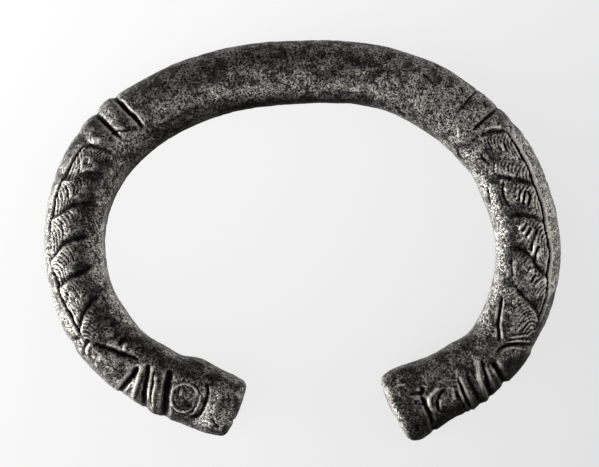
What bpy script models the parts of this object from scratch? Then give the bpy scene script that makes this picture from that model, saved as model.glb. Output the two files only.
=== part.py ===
"""Lion head bracelet: an open bronze hoop cast in one piece, its two ends worked as lion heads.

The hoop lies on its side. Lengths are in metres, +Z is up, X runs across the hoop and +Y points
from the gap to the middle of the back.

The carving is drawn on a strip. A place on it is (along, across): along runs from the front of a
muzzle up its arm, and across from -1 on the inner edge to +1 on the outer edge. Both, and the
heights of the carving, are in half widths of the bar. So the carving grows with the bar, and a
larger hoop only makes the plain back longer. The underside is carved like the top.
"""
from math import pi, radians

import bpy
import numpy as np

# The hoop, between the middles of its two arms, and from the muzzles to the middle of its back
HOOP_WIDTH = 0.0702
HOOP_DEPTH = 0.0526

# The bar, seen from above and from the side
BAR_WIDTH = 0.0099
BAR_HEIGHT = 0.0098
MUZZLE_ROUND = 0.0010
MUZZLE_SWELL = 0.0003
REST_WEAR = 0.00035

# The line through the middle of the bar, in shares of its own half width and half depth
HOOP_LINE = (
    (-0.287, -0.992), (-0.466, -0.898), (-0.603, -0.831), (-0.731, -0.733), (-0.839, -0.603),
    (-0.974, -0.255), (-0.992, 0.129), (-0.890, 0.495), (-0.674, 0.761), (-0.408, 0.920),
    (-0.121, 0.991), (0.171, 0.997), (0.459, 0.926), (0.587, 0.838), (0.711, 0.731),
    (0.901, 0.436), (0.994, 0.067), (0.976, -0.320), (0.919, -0.503), (0.839, -0.666),
    (0.596, -0.877), (0.408, -1.000),
)

# How far each edge stands from that line, as (along, half widths)
LEFT_OUTER = ((0, 0.93), (0.5, 1.03), (0.9, 1.06), (1.5, 1.04), (2.3, 1.04), (3.1, 0.96), (3.7, 0.95),
              (4.6, 0.95), (5.2, 0.99), (6.5, 0.98), (9.0, 0.98), (10.8, 1.01), (11.9, 1.02), (13.0, 1.01),
              (15.5, 1.02), (17.5, 1.00))
LEFT_INNER = ((0, 0.89), (0.5, 0.95), (1.0, 0.99), (1.7, 1.08), (2.0, 1.01), (3.0, 1.00), (3.7, 0.96),
              (5.0, 0.97), (5.8, 0.92), (7.5, 0.90), (9.0, 0.93), (10.2, 1.00), (13.0, 1.01), (17.5, 0.99))
RIGHT_OUTER = ((0, 1.05), (0.35, 1.17), (0.75, 1.13), (1.0, 1.12), (1.4, 1.05), (2.3, 1.05), (3.0, 0.96),
               (3.7, 0.93), (4.3, 0.94), (5.5, 0.94), (7.0, 0.98), (8.5, 0.97), (10.4, 0.99), (11.5, 0.97),
               (12.4, 0.99), (13.1, 1.03), (13.9, 0.96), (15.0, 0.98), (17.5, 1.00))
RIGHT_INNER = ((0, 1.10), (0.25, 1.17), (1.0, 1.15), (1.6, 1.07), (2.7, 1.08), (3.3, 1.01), (5.0, 1.02),
               (7.0, 1.02), (8.2, 1.04), (9.3, 1.08), (10.2, 1.02), (10.8, 1.05), (11.8, 1.03), (13.0, 1.00),
               (14.5, 0.97), (16.2, 0.95), (17.5, 0.99))
LEFT_HEIGHT = ((0, 0.98), (1.5, 1.01), (3.2, 0.98), (5.0, 0.98), (11.0, 1.0), (13.5, 1.04), (17.5, 1.05))
RIGHT_HEIGHT = ((0, 0.99), (1.5, 1.01), (3.2, 0.98), (5.0, 0.98), (11.0, 1.0), (13.5, 1.04), (17.5, 1.05))
# Where one arm's sizes pass into the other's, as shares of the whole bar
MIDDLE_OF_BACK = (0.45, 0.55)

# How square the bar's section is: 2 is an ellipse, and more is nearer to a box
OUTER_SQUARENESS = 2.3
INNER_SQUARENESS = 2.9
MUZZLE_SQUARENESS = 3.4
SNOUT_LENGTH = 1.4

# Marks cut or raised on an arm, as (height, reach to each side, points along the mark)
LEFT_MARKS = (
    # The grooves and the ridge between them that ring the eye on the muzzle's side
    (-0.08, 0.09, ((1.32, 0.76), (1.08, 0.66), (1.01, 0.46), (1.00, 0.16), (1.02, -0.10), (1.12, -0.36),
                   (1.26, -0.50))),
    (0.04, 0.06, ((1.42, 0.71), (1.25, 0.61), (1.19, 0.38), (1.19, 0.14), (1.27, -0.12))),
    (-0.06, 0.06, ((1.52, 0.68), (1.33, 0.57), (1.25, 0.34), (1.26, 0.06), (1.36, -0.17), (1.64, -0.29))),
    # The muzzle's fall towards the eye
    (-0.08, 0.55, ((1.06, 0.95), (1.05, 0.40), (1.08, -0.15), (1.16, -0.60))),
    # The deep furrow behind the eye
    (-0.16, 0.19, ((1.98, 1.25), (2.06, 0.95), (2.14, 0.68), (2.22, 0.38), (2.29, 0.08), (2.36, -0.25),
                   (2.43, -0.54))),
    # The folds of the cheek and the furrows between them
    (0.07, 0.13, ((2.24, 1.25), (2.42, 0.91), (2.54, 0.58), (2.62, 0.25), (2.74, -0.02), (2.86, -0.22))),
    (-0.05, 0.05, ((2.42, 0.89), (2.60, 0.58), (2.70, 0.28), (2.80, 0.01), (2.92, -0.23))),
    (0.04, 0.08, ((2.60, 0.73), (2.72, 0.45), (2.82, 0.15), (2.93, -0.10), (3.04, -0.33))),
    (-0.11, 0.11, ((2.50, 1.18), (2.68, 0.87), (2.82, 0.58), (2.93, 0.27), (3.03, -0.02), (3.18, -0.37))),
    (0.07, 0.13, ((2.92, 1.13), (3.06, 0.73), (3.15, 0.39), (3.23, 0.10), (3.40, -0.29))),
    # The cut in front of the ear
    (-0.15, 0.12, ((3.40, 1.60), (3.39, 0.95), (3.38, 0.50), (3.37, 0.16), (3.40, -0.10))),
    # The furrow under the ear, and the curl at its end
    (-0.09, 0.11, ((3.44, -0.22), (3.72, -0.17), (4.02, -0.05), (4.32, 0.09), (4.58, 0.25), (4.76, 0.39))),
    (-0.06, 0.08, ((4.58, 0.83), (4.84, 0.77), (4.96, 0.60), (4.97, 0.40))),
    (0.05, 0.08, ((4.64, 0.75), (4.80, 0.64), (4.88, 0.42))),
    # The notch between the ear and the crest
    (-0.07, 0.13, ((5.22, 1.50), (5.22, 0.93), (5.16, 0.64))),
    # The nostril and the hollow behind the corner of the mouth
    (-0.06, 0.08, ((0.28, 0.70), (0.48, 0.66), (0.62, 0.52))),
    (-0.05, 0.20, ((1.16, -0.52), (1.26, -0.76))),
    # The inner end of the second collar's groove
    (-0.09, 0.10, ((12.36, 0.30), (12.40, 0.02), (12.37, -0.32))),
)
RIGHT_MARKS = (
    # The groove behind the muzzle and the brow over the eye
    (-0.11, 0.12, ((0.80, 1.30), (0.90, 0.88), (0.97, 0.48), (0.96, 0.13), (1.02, -0.15))),
    (0.07, 0.11, ((1.06, 0.58), (1.07, 0.31), (1.16, 0.11), (1.36, -0.02), (1.64, -0.12))),
    (-0.06, 0.08, ((1.20, 0.65), (1.32, 0.37), (1.50, 0.15), (1.76, 0.03))),
    # The folds of the cheek and the furrows between them
    (-0.06, 0.07, ((1.90, 1.20), (2.01, 0.90), (2.02, 0.50), (2.06, 0.14))),
    (0.05, 0.07, ((2.04, 1.10), (2.08, 0.55), (2.13, 0.20), (2.21, -0.06), (2.32, -0.28), (2.44, -0.48))),
    (-0.07, 0.07, ((2.13, 1.20), (2.16, 0.72), (2.19, 0.27), (2.24, -0.14))),
    (0.06, 0.08, ((2.22, 1.30), (2.25, 0.75), (2.28, 0.30), (2.32, 0.00), (2.40, -0.25))),
    (-0.07, 0.12, ((2.42, 1.20), (2.48, 0.70), (2.51, 0.25), (2.58, -0.12))),
    (0.08, 0.13, ((2.58, 1.30), (2.70, 0.70), (2.80, 0.25), (2.95, -0.04), (3.16, -0.36))),
    (-0.09, 0.09, ((2.72, 1.15), (2.87, 0.66), (3.00, 0.36), (3.10, 0.10), (3.20, -0.16))),
    (0.05, 0.06, ((2.96, 0.90), (3.05, 0.45), (3.17, 0.02))),
    # The cut in front of the ear
    (-0.12, 0.12, ((3.25, 1.60), (3.25, 0.95), (3.35, 0.50), (3.38, 0.06))),
    # The ear's edge and the first tuft of the mane behind it
    (-0.06, 0.09, ((3.58, 0.03), (3.92, 0.08), (4.16, 0.30), (4.34, 0.66), (4.44, 1.00))),
    (0.04, 0.08, ((3.68, 0.16), (3.98, 0.24), (4.14, 0.48), (4.25, 0.85))),
    (-0.07, 0.08, ((3.98, -0.05), (4.25, -0.25), (4.62, -0.44), (5.06, -0.57), (5.52, -0.68))),
    (0.03, 0.07, ((4.08, 0.02), (4.44, -0.24), (4.86, -0.42), (5.35, -0.54))),
    # The nostril and the corner of the mouth
    (-0.05, 0.14, ((0.32, 0.92), (0.42, 0.78), (0.50, 0.62))),
    (-0.05, 0.10, ((0.62, -0.30), (0.84, -0.24), (1.02, -0.16), (1.14, -0.30))),
    # The round hems of three tufts
    (-0.06, 0.08, ((8.50, -0.32), (8.76, -0.44), (9.12, -0.44), (9.36, -0.34), (9.50, -0.20))),
    (-0.05, 0.08, ((10.14, -0.34), (10.28, -0.44), (10.68, -0.43))),
    (-0.05, 0.08, ((6.10, -0.46), (6.50, -0.53), (6.90, -0.58))),
    # The joints of the crest's plates
    (-0.07, 0.12, ((10.25, 1.60), (10.25, 0.80))),
    (-0.05, 0.10, ((9.00, 1.60), (9.00, 0.82))),
    (-0.04, 0.10, ((6.88, 1.60), (6.88, 0.80))),
)

# How much of each cut is worn away at the outer edge, and from where across to where
EDGE_WEAR = 0.6
EDGE_WEAR_BAND = (0.75, 0.98)

# The ears, laid back: height, width of the sloping edge, outline
LEFT_EAR = (0.06, 0.16, ((3.46, 1.80), (3.46, 0.06), (3.70, -0.08), (4.02, 0.03), (4.32, 0.17), (4.58, 0.36),
                         (4.88, 0.46), (5.00, 0.68), (5.10, 1.00), (5.10, 1.80)))
RIGHT_EAR = (0.06, 0.16, ((3.40, 1.80), (3.42, 0.23), (3.60, 0.09), (3.90, 0.16), (4.12, 0.40), (4.27, 0.75),
                          (4.36, 1.00), (4.36, 1.80)))

# The eyes: centre, and how clear they still are
LEFT_EYE = ((1.67, 0.23), 1.0)
RIGHT_EYE = ((1.62, 0.44), 0.6)
EYE_RADIUS = 0.44
EYE_RISE = 0.07
LID_RISE = 0.05
LID_REACH = 0.10
PUPIL_SHARE = 0.78

# The lower edge of the crest that runs over the mane, as (along, across)
LEFT_CREST = ((5.1, 0.60), (5.5, 0.60), (5.9, 0.61), (6.3, 0.67), (6.8, 0.71), (7.4, 0.81), (8.3, 0.80), (8.9, 0.80),
              (9.4, 0.77), (9.8, 0.71), (10.4, 0.66), (10.9, 0.62))
RIGHT_CREST = ((4.9, 0.70), (5.6, 0.69), (6.0, 0.66), (6.5, 0.60), (6.95, 0.63), (7.3, 0.60), (7.8, 0.54),
               (8.2, 0.58), (8.9, 0.55), (9.4, 0.59), (10.0, 0.60), (10.7, 0.64))
CREST_RISE = 0.035
CREST_GROOVE = 0.11
CREST_GROOVE_REACH = 0.075

# The raised far edges of the mane's tufts, from the head outwards, each as how clear it still is and
# points from the crest inwards
LEFT_TUFTS = (
    (1.0, ((5.16, 0.64), (5.32, 0.49), (5.50, 0.31), (5.67, 0.10), (5.82, -0.14), (5.97, -0.50))),
    (1.0, ((6.57, 0.76), (6.66, 0.44), (6.73, 0.23), (6.79, 0.03), (6.91, -0.32), (6.96, -0.50))),
    (1.0, ((7.36, 0.76), (7.56, 0.54), (7.71, 0.38), (7.84, 0.17), (7.91, -0.03), (8.02, -0.45))),
    (0.8, ((8.49, 0.76), (8.62, 0.54), (8.80, 0.33), (8.96, 0.12), (9.06, -0.09), (9.14, -0.50))),
    (0.6, ((9.60, 0.72), (9.70, 0.46), (9.88, 0.24), (10.05, 0.03), (10.17, -0.45))),
    (0.6, ((10.63, 0.66), (10.74, 0.38), (10.84, 0.13), (10.94, -0.25))),
)
RIGHT_TUFTS = (
    (1.0, ((5.03, 0.70), (5.27, 0.45), (5.38, 0.23), (5.50, -0.01), (5.66, -0.22), (5.88, -0.50))),
    (1.0, ((6.22, 0.62), (6.36, 0.35), (6.58, 0.16), (6.78, 0.03), (6.97, -0.17), (7.07, -0.50))),
    (1.0, ((7.72, 0.56), (7.88, 0.37), (7.99, 0.17), (8.08, -0.03), (8.14, -0.40))),
    (0.9, ((8.84, 0.56), (8.96, 0.41), (9.11, 0.18), (9.27, -0.03), (9.46, -0.23), (9.58, -0.50))),
    (0.6, ((9.62, 0.58), (9.80, 0.28), (9.97, 0.03), (10.16, -0.35))),
    (0.8, ((10.60, 0.62), (10.76, 0.33), (10.88, 0.11), (11.00, -0.15))),
)
LEFT_FIRST_TUFT = 4.75
RIGHT_FIRST_TUFT = 3.95
TUFT_RISE = 0.085
TUFT_DROP = 0.09
TUFT_GROOVE = 0.055
TUFT_GROOVE_REACH = 0.10
TUFTS_INNER_END = (-0.52, -0.28)

# The collars: grooves as (along, how far each leans towards the back on its inner side, depth, reach),
# bulges as (from, to, height)
LEFT_COLLAR_GROOVES = ((11.62, 0.02, 0.11, 0.09), (12.38, 0.13, 0.12, 0.10))
LEFT_COLLAR_BULGES = ((10.90, 11.56, 0.07), (11.66, 12.30, 0.09))
RIGHT_COLLAR_GROOVES = ((11.39, 0.08, 0.07, 0.07), (12.13, 0.10, 0.05, 0.07))
RIGHT_COLLAR_BULGES = ((10.80, 11.32, 0.03), (11.42, 12.04, 0.03))
COLLAR_INNER_END = (-0.25, 0.12)

# The front of a muzzle: the mouth's line across it and the two nostrils, as (across, up)
MOUTH_PLACE = 0.35
MOUTH_DEPTH = 0.05
MOUTH_REACH = 0.10
MOUTH_LENGTH = 0.22
NOSTRIL_PLACE = (0.62, 0.34)
NOSTRIL_DEPTH = 0.05
NOSTRIL_REACH = 0.13

# Fineness of the surface
ROW_STEP = 0.00033
COLUMNS = 116
ROUND_ROWS = 5
FACE_ROWS = 9
LINE_STEPS = 4000
MARK_STEPS = 18
OUTLINE_STEPS = 60
SECTION_STEPS = 360
TRIANGLES = 9200
SMOOTH_ANGLE = radians(40)

HALF = BAR_WIDTH / 2


# Small tools for curves

def smooth_line(points, count):
    """Places evenly spread on the natural cubic curve through the points."""
    points = np.array(points, dtype=float)
    spans = np.linalg.norm(np.diff(points, axis=0), axis=1)
    knots = np.concatenate([[0], np.cumsum(spans)])
    last = len(points) - 1
    bends = np.zeros_like(points)
    if last > 1:
        matrix = np.eye(last + 1)
        right = np.zeros_like(points)
        for k in range(1, last):
            matrix[k, k - 1:k + 2] = spans[k - 1], 2 * (spans[k - 1] + spans[k]), spans[k]
            right[k] = 6 * ((points[k + 1] - points[k]) / spans[k] - (points[k] - points[k - 1]) / spans[k - 1])
        bends = np.linalg.solve(matrix, right)
    places = np.linspace(0, knots[-1], count)
    k = np.clip(np.searchsorted(knots, places, side="right") - 1, 0, last - 1)
    step = (places - knots[k])[:, None]
    span = spans[k][:, None]
    slope = (points[k + 1] - points[k]) / span - span * (2 * bends[k] + bends[k + 1]) / 6
    return points[k] + slope * step + bends[k] * step ** 2 / 2 + (bends[k + 1] - bends[k]) / (6 * span) * step ** 3


def read_table(table, along):
    """The smooth curve through a table's (along, value) pairs, read at each place along."""
    line = smooth_line(table, LINE_STEPS)
    return np.interp(along, line[:, 0], line[:, 1])


def rise(value, start, end):
    """0 before start, 1 after end, and smooth between."""
    share = np.clip((value - start) / (end - start), 0, 1)
    return share * share * (3 - 2 * share)


def hump(distance, reach):
    """1 at no distance, 0 beyond reach, and smooth between."""
    share = np.clip(np.abs(distance) / reach, 0, 1)
    return (1 + np.cos(pi * share)) / 2


def line_distance(along, across, line):
    """How far each place is from a line, and how far along the line its nearest point is, 0 to 1."""
    nearest = np.full(across.shape, np.inf)
    share = np.zeros(across.shape)
    steps = len(line) - 1
    for k in range(steps):
        run = line[k + 1] - line[k]
        off_along = along - line[k, 0]
        off_across = across - line[k, 1]
        part = np.clip((off_along * run[0] + off_across * run[1]) / (run @ run), 0, 1)
        distance = np.hypot(off_along - part * run[0], off_across - part * run[1])
        closer = distance < nearest
        nearest = np.where(closer, distance, nearest)
        share = np.where(closer, (k + part) / steps, share)
    return nearest, share


def inside_outline(along, across, line):
    """True for the places inside a closed line."""
    inside = np.zeros(across.shape, dtype=bool)
    for start, end in zip(line, np.roll(line, -1, axis=0)):
        if start[1] == end[1]:
            continue
        between = (across < start[1]) != (across < end[1])
        crossing = start[0] + (across - start[1]) * (end[0] - start[0]) / (end[1] - start[1])
        inside ^= between & (along < crossing)
    return inside


# The carving, as heights over the plain bar

def kept_depth(across):
    """The share of a cut that wear has left."""
    return 1 - EDGE_WEAR * rise(across, *EDGE_WEAR_BAND)


def marks(along, across, listed):
    height = np.zeros(across.shape)
    for rise_or_cut, reach, points in listed:
        distance, share = line_distance(along, across, smooth_line(points, MARK_STEPS))
        taper = rise(share, 0, 0.15) * rise(1 - share, 0, 0.15)
        height += rise_or_cut * hump(distance, reach) * taper
    return height * kept_depth(across)


def ear(along, across, plate):
    height, slope, points = plate
    line = smooth_line(points, OUTLINE_STEPS)
    distance, _ = line_distance(along, across, line)
    inside = inside_outline(along, across, line)
    return height * np.where(inside, rise(distance, 0, slope), 0)


def eye(along, across, place):
    (centre_along, centre_across), clearness = place
    distance = np.hypot(along - centre_along, across - centre_across)
    ball = EYE_RISE * np.clip(1 - (distance / (EYE_RADIUS * PUPIL_SHARE)) ** 2, 0, 1)
    lid = LID_RISE * hump(distance - EYE_RADIUS, LID_REACH)
    return clearness * (ball + lid)


def crest(along, across, table):
    """The band over the mane's spine, raised above the groove along its lower edge."""
    edge = read_table(table, along)
    first, last = table[0][0], table[-1][0]
    here = rise(along, first - 0.1, first + 0.3) * rise(-along, -last - 0.1, -last + 0.3)
    band = CREST_RISE * rise(across - edge, 0, CREST_GROOVE_REACH)
    groove = CREST_GROOVE * hump(across - edge, CREST_GROOVE_REACH)
    return here * (band - groove)


def tufts(along, across, edges, first, crest_table):
    """Overlapping tufts: each rises away from the head and drops at its far edge."""
    height = np.zeros(across.shape)
    root = np.full(across.shape, first)
    for clearness, points in edges:
        line = smooth_line(points, MARK_STEPS)[::-1]
        tip = np.interp(across, line[:, 1], line[:, 0])
        share = np.clip((along - root) / (tip - root), 0, 1)
        height += clearness * TUFT_RISE * share ** 2 * (1 - rise(along - tip, 0, TUFT_DROP))
        height -= clearness * TUFT_GROOVE * hump(along - tip - TUFT_DROP, TUFT_GROOVE_REACH)
        root = tip
    edge = read_table(crest_table, along)
    return height * rise(across, *TUFTS_INNER_END) * rise(edge - across, 0, CREST_GROOVE_REACH)


def collars(along, across, grooves, bulges):
    height = np.zeros(across.shape)
    for place, lean, depth, reach in grooves:
        height -= depth * hump(along + lean * across - place, reach) * kept_depth(across)
    for start, end, bulge in bulges:
        height += bulge * np.sqrt(hump(along - (start + end) / 2, (end - start) / 2))
    return height * rise(across, *COLLAR_INNER_END)


def muzzle_front(along, across, up):
    """The mouth's line and the nostrils, seen on the flat front."""
    mouth = MOUTH_DEPTH * hump(across - MOUTH_PLACE, MOUTH_REACH)
    from_nostril = np.hypot(across - NOSTRIL_PLACE[0], np.abs(up) - NOSTRIL_PLACE[1])
    nostril = NOSTRIL_DEPTH * hump(from_nostril, NOSTRIL_REACH)
    return -(mouth + nostril) * rise(-along, -MOUTH_LENGTH, 0)


def left_carving(along, across, up):
    return (marks(along, across, LEFT_MARKS)
            + ear(along, across, LEFT_EAR)
            + eye(along, across, LEFT_EYE)
            + crest(along, across, LEFT_CREST)
            + tufts(along, across, LEFT_TUFTS, LEFT_FIRST_TUFT, LEFT_CREST)
            + collars(along, across, LEFT_COLLAR_GROOVES, LEFT_COLLAR_BULGES)
            + muzzle_front(along, across, up))


def right_carving(along, across, up):
    return (marks(along, across, RIGHT_MARKS)
            + ear(along, across, RIGHT_EAR)
            + eye(along, across, RIGHT_EYE)
            + crest(along, across, RIGHT_CREST)
            + tufts(along, across, RIGHT_TUFTS, RIGHT_FIRST_TUFT, RIGHT_CREST)
            + collars(along, across, RIGHT_COLLAR_GROOVES, RIGHT_COLLAR_BULGES)
            + muzzle_front(along, across, up))


# The hoop's form

def hoop_line():
    """Distance along the middle of the bar, with the place, the direction and the outward side there."""
    half_size = np.array([HOOP_WIDTH, HOOP_DEPTH]) / 2
    places = smooth_line(np.array(HOOP_LINE) * half_size, LINE_STEPS)
    steps = np.linalg.norm(np.diff(places, axis=0), axis=1)
    distance = np.concatenate([[0], np.cumsum(steps)])
    direction = np.gradient(places, distance, axis=0)
    direction /= np.linalg.norm(direction, axis=1)[:, None]
    outward = np.stack([-direction[:, 1], direction[:, 0]], axis=1)
    return distance, places, direction, outward


def row_places(length):
    """How far along the hoop each row is, and what share of the full section it has."""
    face_share = 1 - MUZZLE_ROUND / HALF
    face = np.linspace(0, 1, FACE_ROWS, endpoint=False)
    turn = np.linspace(pi / 2, 0, ROUND_ROWS, endpoint=False)
    end_stations = np.concatenate([-MUZZLE_SWELL * (1 - face ** 2), MUZZLE_ROUND * (1 - np.sin(turn))])
    end_shares = np.concatenate([face_share * face, 1 - (1 - face_share) * (1 - np.cos(turn))])
    body_rows = round((length - 2 * MUZZLE_ROUND) / ROW_STEP)
    body = np.linspace(MUZZLE_ROUND, length - MUZZLE_ROUND, body_rows)
    stations = np.concatenate([end_stations, body, length - end_stations[::-1]])
    shares = np.concatenate([end_shares, np.ones(body_rows), end_shares[::-1]])
    return stations, shares


def section(outer, inner, height, outer_power, inner_power):
    """One section of the plain bar, evenly spaced points as (across, up) from the outer edge round."""
    angle = np.linspace(0, 2 * pi, SECTION_STEPS + 1)
    is_outer = np.cos(angle) >= 0
    power = np.where(is_outer, outer_power, inner_power)
    reach = np.where(is_outer, outer, inner)
    across = reach * np.sign(np.cos(angle)) * np.abs(np.cos(angle)) ** (2 / power)
    up = height * np.sign(np.sin(angle)) * np.abs(np.sin(angle)) ** (2 / power)
    steps = np.hypot(np.diff(across), np.diff(up))
    distance = np.concatenate([[0], np.cumsum(steps)])
    even = np.linspace(0, distance[-1], COLUMNS, endpoint=False)
    return np.interp(even, distance, across), np.interp(even, distance, up)


def both_arms(stations, length, left_table, right_table):
    """A size along the whole bar, read from each arm's table and passing over at the middle of the back."""
    left = read_table(left_table, stations / HALF)
    right = read_table(right_table, (length - stations) / HALF)
    return left + (right - left) * rise(stations / length, *MIDDLE_OF_BACK)


def plain_sections(stations, length):
    """The plain bar's section at every row, in metres."""
    outer = both_arms(stations, length, LEFT_OUTER, RIGHT_OUTER)
    inner = both_arms(stations, length, LEFT_INNER, RIGHT_INNER)
    height = both_arms(stations, length, LEFT_HEIGHT, RIGHT_HEIGHT)
    snout = 1 - rise(np.minimum(stations, length - stations), 0, SNOUT_LENGTH * HALF)
    outer_power = OUTER_SQUARENESS + snout * (MUZZLE_SQUARENESS - OUTER_SQUARENESS)
    inner_power = INNER_SQUARENESS + snout * (MUZZLE_SQUARENESS - INNER_SQUARENESS)
    across = np.empty((len(stations), COLUMNS))
    up = np.empty((len(stations), COLUMNS))
    for row in range(len(stations)):
        across[row], up[row] = section(outer[row] * HALF, inner[row] * HALF, height[row] * BAR_HEIGHT / 2,
                                       outer_power[row], inner_power[row])
    return across, up


def place_on_hoop(stations, across, up):
    """Points in space for places given by station, across and up, past the ends in a straight line."""
    distance, places, direction, outward = hoop_line()
    inside = np.clip(stations, 0, distance[-1])
    middle = np.stack([np.interp(inside, distance, places[:, k]) for k in range(2)], axis=1)
    ahead = np.stack([np.interp(inside, distance, direction[:, k]) for k in range(2)], axis=1)
    side = np.stack([np.interp(inside, distance, outward[:, k]) for k in range(2)], axis=1)
    middle += ahead * (stations - inside)[:, None]
    points = np.empty(across.shape + (3,))
    points[..., :2] = middle[:, None, :] + side[:, None, :] * across[..., None]
    points[..., 2] = up
    return points


def surface_normals(points):
    """Outward normals of the grid of points, whose columns close on themselves."""
    by_row = np.gradient(points, axis=0)
    by_column = np.roll(points, -1, axis=1) - np.roll(points, 1, axis=1)
    normals = np.cross(by_column, by_row)
    size = np.linalg.norm(normals, axis=2, keepdims=True)
    return normals / np.maximum(size, 1e-12)


def carved_points():
    """The grid of points of the carved bar."""
    length = hoop_line()[0][-1]
    stations, shares = row_places(length)
    across, up = plain_sections(stations, length)
    across *= shares[:, None]
    up *= shares[:, None]
    points = place_on_hoop(stations, across, up)
    from_left = (np.maximum(stations, 0) / HALF)[:, None] + np.zeros_like(across)
    from_right = (np.maximum(length - stations, 0) / HALF)[:, None] + np.zeros_like(across)
    on_left = stations < length / 2
    height = np.empty(across.shape)
    height[on_left] = left_carving(from_left[on_left], across[on_left] / HALF, up[on_left] / HALF)
    height[~on_left] = right_carving(from_right[~on_left], across[~on_left] / HALF, up[~on_left] / HALF)
    return points + surface_normals(points) * (height * HALF)[..., None]


def closed_mesh(name, points):
    """A closed mesh over a grid whose first and last rows are single points."""
    rows, columns = points.shape[:2]
    corner = np.arange(1, 1 + (rows - 2) * columns).reshape(rows - 2, columns)
    after = np.roll(corner, -1, axis=1)
    last = 1 + (rows - 2) * columns
    faces = [(0, b, a) for a, b in zip(corner[0].tolist(), after[0].tolist())]
    strip = np.stack([corner[:-1], after[:-1], after[1:], corner[1:]], axis=2)
    faces += strip.reshape(-1, 4).tolist()
    faces += [(last, a, b) for a, b in zip(corner[-1].tolist(), after[-1].tolist())]
    vertices = np.concatenate([points[0, :1], points[1:-1].reshape(-1, 3), points[-1, :1]])
    mesh = bpy.data.meshes.new(name)
    mesh.from_pydata(vertices.tolist(), [], faces)
    mesh.validate()
    return mesh


def seated(points):
    """The points moved so that the box's bottom centre is the origin, less what wear takes below."""
    low = points.reshape(-1, 3).min(axis=0)
    high = points.reshape(-1, 3).max(axis=0)
    middle = (low + high) / 2
    return points - np.array([middle[0], middle[1], low[2] + REST_WEAR])


# Blender objects

def clear_scene():
    for item in list(bpy.data.objects):
        bpy.data.objects.remove(item, do_unlink=True)


def new_collection(name):
    collection = bpy.data.collections.new(name)
    bpy.context.scene.collection.children.link(collection)
    return collection


def bronze():
    material = bpy.data.materials.new("bronze")
    material.use_nodes = True
    shader = material.node_tree.nodes["Principled BSDF"]
    shader.inputs["Base Color"].default_value = (0.16, 0.15, 0.13, 1)
    shader.inputs["Metallic"].default_value = 1.0
    shader.inputs["Roughness"].default_value = 0.42
    return material


def rest_cutter(collection):
    """A block under the surface that the hoop lies on: it takes off what wear has taken."""
    bpy.ops.mesh.primitive_cube_add(size=1)
    cutter = bpy.context.active_object
    cutter.name = "rest_wear"
    thickness = BAR_HEIGHT
    cutter.scale = (2 * HOOP_WIDTH, 2 * HOOP_DEPTH, thickness)
    cutter.location = (0, 0, -thickness / 2)
    cutter.hide_render = True
    cutter.display_type = "WIRE"
    for other in list(cutter.users_collection):
        other.objects.unlink(cutter)
    collection.objects.link(cutter)
    return cutter


def bracelet(parts, cutters):
    mesh = closed_mesh("bracelet", seated(carved_points()))
    mesh.materials.append(bronze())
    mesh.shade_smooth()
    mesh.set_sharp_from_angle(angle=SMOOTH_ANGLE)
    hoop = bpy.data.objects.new("bracelet", mesh)
    parts.objects.link(hoop)
    triangles = sum(len(face.vertices) - 2 for face in mesh.polygons)
    fewer = hoop.modifiers.new("fewer triangles", "DECIMATE")
    fewer.ratio = TRIANGLES / triangles
    worn = hoop.modifiers.new("worn underside", "BOOLEAN")
    worn.operation = "DIFFERENCE"
    worn.object = rest_cutter(cutters)
    return hoop


def main():
    clear_scene()
    parts = new_collection("lion head bracelet")
    cutters = new_collection("cutters")
    bracelet(parts, cutters)


main()
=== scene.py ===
"""Looks of the lion head bracelet: dark, pitted, worn bronze, seen from straight above in soft light.

The bracelet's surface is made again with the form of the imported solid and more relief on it: the
strands of the mane, the hatching of the crest, cracks, scratches and pits. Lengths are in metres,
+Z is up, X runs across the hoop and +Y points from the gap to the middle of the back.

The carving is drawn on a strip. A place on it is (along, across): along runs from the front of a
muzzle up its arm, and across from -1 on the inner edge to +1 on the outer edge. Both, and the
heights of the carving, are in half widths of the bar.
"""
from itertools import product
from math import cos, pi, radians, sin

import bpy
import numpy as np
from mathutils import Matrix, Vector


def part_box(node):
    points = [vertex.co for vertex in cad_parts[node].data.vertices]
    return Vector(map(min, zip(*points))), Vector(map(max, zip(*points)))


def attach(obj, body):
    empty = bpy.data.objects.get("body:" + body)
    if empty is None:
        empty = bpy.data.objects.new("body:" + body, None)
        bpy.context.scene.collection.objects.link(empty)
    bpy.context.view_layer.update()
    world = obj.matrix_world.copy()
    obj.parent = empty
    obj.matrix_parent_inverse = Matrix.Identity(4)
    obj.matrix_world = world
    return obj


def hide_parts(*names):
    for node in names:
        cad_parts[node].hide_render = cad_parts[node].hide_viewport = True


# The hoop and the bar
HOOP_WIDTH = 0.0702
HOOP_DEPTH = 0.0526
BAR_WIDTH = 0.0099
BAR_HEIGHT = 0.0098
MUZZLE_ROUND = 0.0010
MUZZLE_SWELL = 0.0003
REST_WEAR = 0.00035
HALF = BAR_WIDTH / 2

# The line through the middle of the bar, in shares of its own half width and half depth
HOOP_LINE = (
    (-0.287, -0.992), (-0.466, -0.898), (-0.603, -0.831), (-0.731, -0.733), (-0.839, -0.603),
    (-0.974, -0.255), (-0.992, 0.129), (-0.890, 0.495), (-0.674, 0.761), (-0.408, 0.920),
    (-0.121, 0.991), (0.171, 0.997), (0.459, 0.926), (0.587, 0.838), (0.711, 0.731),
    (0.901, 0.436), (0.994, 0.067), (0.976, -0.320), (0.919, -0.503), (0.839, -0.666),
    (0.596, -0.877), (0.408, -1.000),
)

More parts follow.
